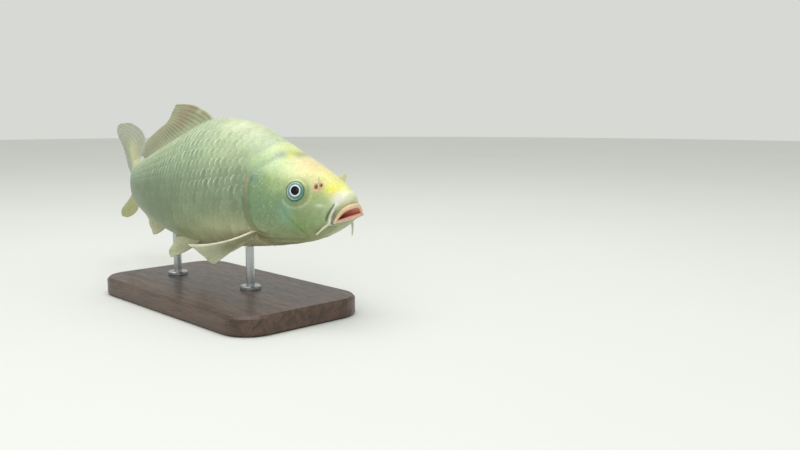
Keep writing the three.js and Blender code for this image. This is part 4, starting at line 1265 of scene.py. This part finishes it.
def add_eye(side):
    """Eye seen through its flat clear front: lens, silver ring, iris and pale rim in one glossy body."""
    angle = EYE_ANGLE if side > 0 else math.pi - EYE_ANGLE
    at = body_point(EYE_T, angle)
    back = body_point(EYE_T + 0.002, angle) - body_point(EYE_T - 0.002, angle)
    around = body_point(EYE_T, angle + 0.01) - body_point(EYE_T, angle - 0.01)
    out = unit(np.cross(back, around))
    out = out * np.sign(out[1] * side)
    up = unit(np.cross(out, np.cross([0, 0, 1.0], out)))
    across = np.cross(up, out)
    swing = np.concatenate([np.linspace(0.004, 0.5, 70), np.linspace(0.52, 0.996, 24)]) * math.pi
    turn = np.linspace(0, 2 * math.pi, EYE_COLUMNS, endpoint=False)
    radius = EYE_SHARE * EYE_RADIUS * np.sin(swing)
    depth = EYE_SHARE * EYE_RADIUS * EYE_FLATNESS * np.cos(swing)
    facing = swing < math.pi / 2
    ahead = -side * np.cos(turn) * radius[:, None]
    above = np.sin(turn) * radius[:, None]
    within = 1 - (radius[:, None] / EYE_RADIUS)**2
    from_pupil = np.hypot(ahead - PUPIL_AHEAD * within, above - PUPIL_ABOVE * within)
    dent = smooth(3.4, 3.9, from_pupil) * (1 - smooth(5.6, 6.5, from_pupil))
    depth = depth[:, None] - facing[:, None] * IRIS_DENT * dent
    middle = at * LENGTH - out * EYE_SUNK
    spoke = np.cos(turn)[None, :, None] * across + np.sin(turn)[None, :, None] * up
    points = (middle + radius[:, None, None] * spoke + depth[..., None] * out) / LENGTH
    rows, columns = points.shape[:2]
    everything = np.concatenate([points.reshape(-1, 3), points[[0, -1]].mean(1)])
    every_row = np.ones((rows, 1))
    disc = np.stack([from_pupil / EYE_RADIUS, -side * np.cos(turn) * every_row, np.sin(turn) * every_row], -1)
    disc[~facing, :, 0] = 1.0
    disc = np.concatenate([disc.reshape(-1, 3), [[0, 0, 0], [1, 0, 0]]])
    name = "eyeball_left" if side > 0 else "eyeball_right"
    faces = tube_faces(rows, columns, flip=True)
    return make_object(name, to_row(everything), faces, EYE_MATERIAL, {"disc": disc})


# ---------------------------------------------------------------- materials
class Look:
    """One node material being put together."""

    def __init__(self, name):
        self.material = bpy.data.materials.new(name)
        self.material.use_nodes = True
        self.nodes = self.material.node_tree.nodes
        self.links = self.material.node_tree.links
        self.nodes.clear()
        self.out = self.nodes.new("ShaderNodeOutputMaterial")
        self.shader = self.nodes.new("ShaderNodeBsdfPrincipled")
        self.links.new(self.shader.outputs[0], self.out.inputs["Surface"])

    def set(self, **values):
        for key, value in values.items():
            self.shader.inputs[key.replace("_", " ")].default_value = value

    def give(self, socket, value):
        if hasattr(value, "is_output"):
            self.links.new(value, socket)
        else:
            socket.default_value = value

    def drive(self, key, value):
        self.give(self.shader.inputs[key], value)

    def attribute(self, name, output="Vector"):
        node = self.nodes.new("ShaderNodeAttribute")
        node.attribute_name = name
        return node.outputs[output]

    def math(self, operation, *values):
        node = self.nodes.new("ShaderNodeMath")
        node.operation = operation
        for socket, value in zip(node.inputs, values):
            self.give(socket, value)
        return node.outputs[0]

    def scaled(self, vector, factors):
        node = self.nodes.new("ShaderNodeVectorMath")
        node.operation = "MULTIPLY"
        self.give(node.inputs[0], vector)
        node.inputs[1].default_value = factors
        return node.outputs[0]

    def noise(self, vector, scale, detail=3.0, distortion=0.0):
        node = self.nodes.new("ShaderNodeTexNoise")
        self.give(node.inputs["Vector"], vector)
        node.inputs["Scale"].default_value = scale
        node.inputs["Detail"].default_value = detail
        node.inputs["Distortion"].default_value = distortion
        return node.outputs["Fac"]

    def spread(self, value, low, high, to_low, to_high):
        node = self.nodes.new("ShaderNodeMapRange")
        self.give(node.inputs["Value"], value)
        for key, number in (("From Min", low), ("From Max", high), ("To Min", to_low), ("To Max", to_high)):
            node.inputs[key].default_value = number
        return node.outputs[0]

    def mix(self, factor, first, second, blend="MIX"):
        node = self.nodes.new("ShaderNodeMix")
        node.data_type = "RGBA"
        node.blend_type = blend
        self.give(node.inputs[0], factor)
        for socket, value in ((node.inputs[6], first), (node.inputs[7], second)):
            self.give(socket, paint(value) if isinstance(value, str) else value)
        return node.outputs[2]

    def tinted(self, base, value, low, high):
        """Base colour made darker and lighter by a grey value from low to high."""
        grey = self.nodes.new("ShaderNodeCombineXYZ")
        level = self.spread(value, 0.3, 0.7, low, high)
        for socket in grey.inputs:
            self.links.new(level, socket)
        return self.mix(1.0, base, grey.outputs[0], "MULTIPLY")

    def ramp(self, value, stops):
        node = self.nodes.new("ShaderNodeValToRGB")
        self.give(node.inputs[0], value)
        points = node.color_ramp.elements
        while len(points) < len(stops):
            points.new(0.5)
        for point, (place, code) in zip(points, stops):
            point.position = place
            point.color = paint(code)
        return node.outputs[0]

    def relief(self, height, strength, depth):
        node = self.nodes.new("ShaderNodeBump")
        node.inputs["Strength"].default_value = strength
        node.inputs["Distance"].default_value = depth
        self.links.new(height, node.inputs["Height"])
        self.links.new(node.outputs[0], self.shader.inputs["Normal"])


def paint(code):
    return (*[float(c) for c in colour(code)], 1.0)


def flesh(name, rough, bare):
    """Wet skin or scale whose markings and painted shade come with the mesh, broken up by fine freckles and
    pores.
    """
    m = Look(name)
    place = m.attribute("straight")
    tone = m.attribute("tone", "Color")
    tone = m.tinted(tone, m.noise(place, 0.07, 3.0), 0.93, 1.06)
    tone = m.tinted(tone, m.noise(place, 0.60, 4.0), 0.90, 1.09)
    pores = m.noise(place, 1.6, 3.0)
    if bare:
        clouds = m.spread(m.noise(place, 0.06, 2.0), 0.38, 0.62, 0.3, 1.0)
        amount = m.math("MULTIPLY", m.attribute("mottle", "Fac"), clouds)
        dark = m.math("MULTIPLY", amount, m.spread(m.noise(place, 0.20, 5.0, 0.8), 0.48, 0.66, 0.0, 0.45))
        tone = m.mix(dark, tone, "#66835c")
        upright = m.scaled(place, (1.0, 1.0, 0.45))
        flecks = m.spread(m.noise(upright, 1.15, 4.0, 0.5), 0.58, 0.70, 0.0, 0.60)
        tone = m.mix(m.math("MULTIPLY", m.attribute("fleck", "Fac"), flecks), tone, "#dcecc0")
        wet = m.attribute("wet", "Fac")
        m.drive("Roughness", m.math("SUBTRACT", m.spread(pores, 0.3, 0.7, rough, rough + 0.12),
                                    m.math("MULTIPLY", wet, 0.12)))
    else:
        broken = m.spread(m.noise(place, 0.75, 3.0), 0.36, 0.60, 0.20, 1.25)
        tone = m.mix(m.math("MULTIPLY", m.attribute("edge", "Fac"), broken), tone, "#e6f3cd")
        m.drive("Roughness", m.spread(pores, 0.3, 0.7, rough, rough + 0.12))
    m.drive("Base Color", tone)
    m.set(IOR=1.42, Coat_Weight=0.22, Coat_Roughness=0.22, Subsurface_Weight=0.10, Subsurface_Scale=0.0016,
          Subsurface_Radius=(1.0, 0.75, 0.45))
    m.relief(m.math("ADD", pores, m.math("MULTIPLY", m.noise(place, 0.5, 4.0), 1.4)), 0.30, 0.00028)
    return m.material


def web(name):
    """Fin web and rays: fine cross joints on the rays, faint blotches on the web."""
    m = Look(name)
    place = m.attribute("straight")
    rayed = m.attribute("rayed")
    ridge = m.attribute("ridge", "Fac")
    tone = m.attribute("tone", "Color")
    tone = m.tinted(tone, m.noise(place, 0.12, 3.0), 0.90, 1.08)
    tone = m.tinted(tone, m.noise(m.scaled(rayed, (9.0, 0.7, 1.0)), 1.0, 4.0), 0.88, 1.10)
    joints = m.noise(m.scaled(rayed, (3.0, 5.5, 1.0)), 1.0, 2.0)
    tone = m.mix(m.math("MULTIPLY", ridge, m.spread(joints, 0.50, 0.62, 0.0, 0.25)), tone, "#6f6d4e")
    m.drive("Base Color", tone)
    m.drive("Roughness", m.spread(joints, 0.3, 0.7, 0.38, 0.50))
    m.set(IOR=1.42, Coat_Weight=0.15, Coat_Roughness=0.25, Subsurface_Weight=0.15, Subsurface_Scale=0.0012,
          Subsurface_Radius=(1.0, 0.8, 0.5))
    m.relief(m.math("ADD", m.math("MULTIPLY", joints, ridge), m.noise(place, 1.8, 2.0)), 0.30, 0.00018)
    return m.material


def eye_look():
    m = Look("eye")
    disc = m.attribute("disc")
    split = m.nodes.new("ShaderNodeSeparateXYZ")
    m.links.new(disc, split.inputs[0])
    streaks = m.noise(m.scaled(disc, (2.0, 14.0, 14.0)), 1.0, 3.0)
    blur = m.math("MULTIPLY", m.math("SUBTRACT", streaks, 0.5), 0.05)
    # The ramp's last stop, a dark teal, is painted shade where the eye meets its socket.
    shade = m.ramp(m.math("ADD", split.outputs[0], blur), [
        (0.00, "#020807"), (0.43, "#061411"), (0.465, "#33504b"), (0.50, "#f4faf7"), (0.575, "#e3eeea"),
        (0.62, "#7f949f"), (0.80, "#6f8a8e"), (0.855, "#bcd6cb"), (0.905, "#b5d0c2"), (0.96, "#2f5646"),
    ])
    # Teal on the forward and lower side of the outer iris and rim: partly the iris's own teal, partly painted
    # shade of the socket.
    outer = m.spread(split.outputs[0], 0.60, 0.66, 0.0, 1.0)
    tilted = m.math("SUBTRACT", split.outputs[1], m.math("MULTIPLY", split.outputs[2], 0.35))
    ahead = m.spread(tilted, 0.0, 0.9, 0.0, 0.75)
    shade = m.mix(m.math("MULTIPLY", outer, ahead), shade, "#4b7f68")
    shade = m.tinted(shade, streaks, 0.86, 1.10)
    m.drive("Base Color", shade)
    m.set(Roughness=0.16, IOR=1.40, Specular_IOR_Level=0.2, Coat_Weight=0.22, Coat_Roughness=0.03)
    m.relief(streaks, 0.06, 0.0002)
    return m.material


def wood():
    """Dark oiled hardwood with the grain along the base."""
    m = Look("stand_wood")
    spot = m.nodes.new("ShaderNodeTexCoord").outputs["Object"]
    grain = m.noise(m.scaled(spot, (10.0, 150.0, 150.0)), 1.0, 5.0, 0.8)
    pores = m.noise(m.scaled(spot, (90.0, 1400.0, 1400.0)), 1.0, 2.0)
    tone = m.ramp(grain, [(0.30, "#33231a"), (0.48, "#4a3325"), (0.58, "#5c4231"), (0.72, "#3a281d")])
    tone = m.mix(m.spread(pores, 0.52, 0.70, 0.0, 0.6), tone, "#22160f")
    m.drive("Base Color", tone)
    m.drive("Roughness", m.spread(pores, 0.3, 0.7, 0.34, 0.50))
    m.set(Coat_Weight=0.25, Coat_Roughness=0.25)
    m.relief(m.math("ADD", grain, pores), 0.20, 0.0002)
    return m.material


def steel():
    """Brushed stainless steel, brushed round the rod."""
    m = Look("stand_steel")
    spot = m.nodes.new("ShaderNodeTexCoord").outputs["Object"]
    brush = m.noise(m.scaled(spot, (60.0, 60.0, 4200.0)), 1.0, 3.0)
    m.drive("Base Color", m.mix(brush, "#a9acae", "#c6c9cb"))
    m.drive("Roughness", m.spread(brush, 0.3, 0.7, 0.24, 0.38))
    m.set(Metallic=1.0)
    m.relief(brush, 0.12, 0.0001)
    return m.material


def pale_floor():
    m = Look("floor")
    spot = m.nodes.new("ShaderNodeTexCoord").outputs["Object"]
    m.drive("Base Color", m.mix(m.noise(spot, 3.0, 4.0), "#dfe1dc", "#e5e7e2"))
    m.set(Roughness=0.8)
    return m.material


SKIN_MATERIAL = flesh("koi_skin", 0.36, True)
SCALE_MATERIAL = flesh("koi_scale", 0.34, False)
FIN_MATERIAL = web("koi_fin")
EYE_MATERIAL = eye_look()


# ---------------------------------------------------------------- the fish
def build_fish():
    skin = Shape()
    add_skin(skin)
    for side in (1, -1):
        add_feeler(skin, LOWER_BARBELS[side], side)
        add_feeler(skin, UPPER_BARBEL, side)
        add_flap(skin, side)
    body = skin.build("skin", SKIN_MATERIAL)
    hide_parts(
        "head", "lower_jaw", "gill_cover_left", "gill_cover_right", "trunk_front", "trunk_rear",
        "tail_stalk", "barbel_lower_left", "barbel_lower_right", "barbel_upper_left", "barbel_upper_right",
        "nostril_flap_left", "nostril_flap_right",
    )
    pieces = [(body, "skin"), (add_scales(1), "skin"), (add_scales(-1), "skin")]

    def fin(name, nodes, *parts):
        shape = Shape()
        for part in parts:
            add_fin(shape, **part)
        thing = shape.build(name, FIN_MATERIAL)
        thing.data.set_sharp_from_angle(angle=FIN_SHARP)
        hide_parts(*nodes)
        pieces.append((thing, "fin"))

    fin("fin_dorsal", ["dorsal_fin"], dict(
        rays=DORSAL_RAYS, count=24, look=DORSAL_LOOK, rounding=0.06, wave=0.8))
    fin("fin_anal", ["anal_fin"], dict(
        rays=ANAL_RAYS, count=9, look=ANAL_LOOK, rounding=0.06, wave=0.6, turn=1.0))
    fin("fin_caudal", ["caudal_fin_upper", "caudal_fin_lower"],
        dict(rays=CAUDAL_UPPER_RAYS, count=15, look=CAUDAL_UPPER_LOOK, rounding=0.14, wave=0.9),
        dict(rays=CAUDAL_LOWER_RAYS, count=13, look=CAUDAL_LOWER_LOOK, rounding=0.14, wave=0.9, turn=2.0))
    for side, word in ((1, "left"), (-1, "right")):
        far = float(side > 0)
        fin(f"fin_pectoral_{word}", [f"pectoral_fin_{word}"], dict(
            rays=PECTORAL_RAYS, count=18, look=PECTORAL_LOOK, side=side, lift=PECTORAL_LIFT * far,
            turn=0.6))
        fin(f"fin_pelvic_{word}", [f"pelvic_fin_{word}"], dict(
            rays=PELVIC_RAYS, count=11, look=PELVIC_LOOK, side=side, lift=PELVIC_LIFT * far,
            wave=0.6, turn=1.6))
        eye = add_eye(side)
        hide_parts(f"eye_{word}")
        pieces.append((eye, "eye"))
    for thing, slot in pieces:
        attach(thing, "root")


def dress_stand():
    metal = steel()
    for name, material in (("stand_base", wood()), ("stand_rod_front", metal), ("stand_rod_rear", metal)):
        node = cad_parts[name]
        if not node.data.materials:
            node.data.materials.append(material)
        for k in range(len(node.data.materials)):
            node.data.materials[k] = material


# ---------------------------------------------------------------- floor, light and camera
FLOOR_RADII = (0.5, 1.5, 4.0)   # m
FLOOR_SIDES = 64


def add_floor():
    turn = np.linspace(0, 2 * math.pi, FLOOR_SIDES, endpoint=False)
    circle = np.stack([np.cos(turn), np.sin(turn), 0 * turn], -1)
    points = np.concatenate([circle * radius for radius in FLOOR_RADII] + [[[0, 0, 0]]])
    rings = grid_faces(len(FLOOR_RADII), FLOOR_SIDES, True, flip=True)
    ring = np.arange(FLOOR_SIDES)
    middle = np.stack([ring, (ring + 1) % FLOOR_SIDES, np.full(FLOOR_SIDES, len(points) - 1)], -1)
    floor = make_object("floor", points, [rings, middle], pale_floor(), {})


WORLD_TONE = "#e6e8e4"
WORLD_STRENGTH = 0.86
# Lights: name, place and side in m, and power in W.
LIGHTS = [("overhead", (0.05, -0.15, 1.4), 1.2, 11), ("front", (0.9, -0.9, 0.9), 1.0, 3)]


def add_light(name, place, size, power):
    lamp = bpy.data.lights.new(name, "AREA")
    lamp.size = size
    lamp.energy = power
    thing = bpy.data.objects.new(name, lamp)
    thing.location = place
    aim = Vector((0, 0, SNOUT_HEIGHT / 1000)) - Vector(place)
    thing.rotation_euler = aim.to_track_quat("-Z", "Y").to_euler()
    bpy.context.scene.collection.objects.link(thing)


def light_scene():
    world = bpy.data.worlds.new("studio")
    world.use_nodes = True
    background = world.node_tree.nodes["Background"]
    background.inputs["Color"].default_value = paint(WORLD_TONE)
    background.inputs["Strength"].default_value = WORLD_STRENGTH
    bpy.context.scene.world = world
    for light in LIGHTS:
        add_light(*light)
    bpy.context.scene.view_settings.view_transform = "Standard"


CAMERA_TURN = math.radians(46)
CAMERA_RISE = math.radians(8)
CAMERA_LENS = 38.25             # mm, on a sensor 36 mm wide
SENSOR_WIDTH = 36
CAMERA_FROM_SNOUT = (0.0279, -0.01376, 0.650)       # m to its right, up and back


def add_camera():
    level = math.cos(CAMERA_RISE)
    back = Vector((math.sin(CAMERA_TURN) * level, -math.cos(CAMERA_TURN) * level, math.sin(CAMERA_RISE)))
    right = Vector((math.cos(CAMERA_TURN), math.sin(CAMERA_TURN), 0))
    up = back.cross(right)
    snout = Vector(to_row([0.0, 0.0, 0.0]))
    data = bpy.data.cameras.new("camera")
    data.lens = CAMERA_LENS
    data.sensor_width = SENSOR_WIDTH
    data.clip_start = 0.01
    camera = bpy.data.objects.new("camera", data)
    aside, above, away = CAMERA_FROM_SNOUT
    camera.location = snout + right * aside + up * above + back * away
    camera.rotation_euler = Matrix((right, up, back)).transposed().to_euler()
    bpy.context.scene.collection.objects.link(camera)
    bpy.context.scene.camera = camera


add_camera()
build_fish()
dress_stand()
add_floor()
light_scene()
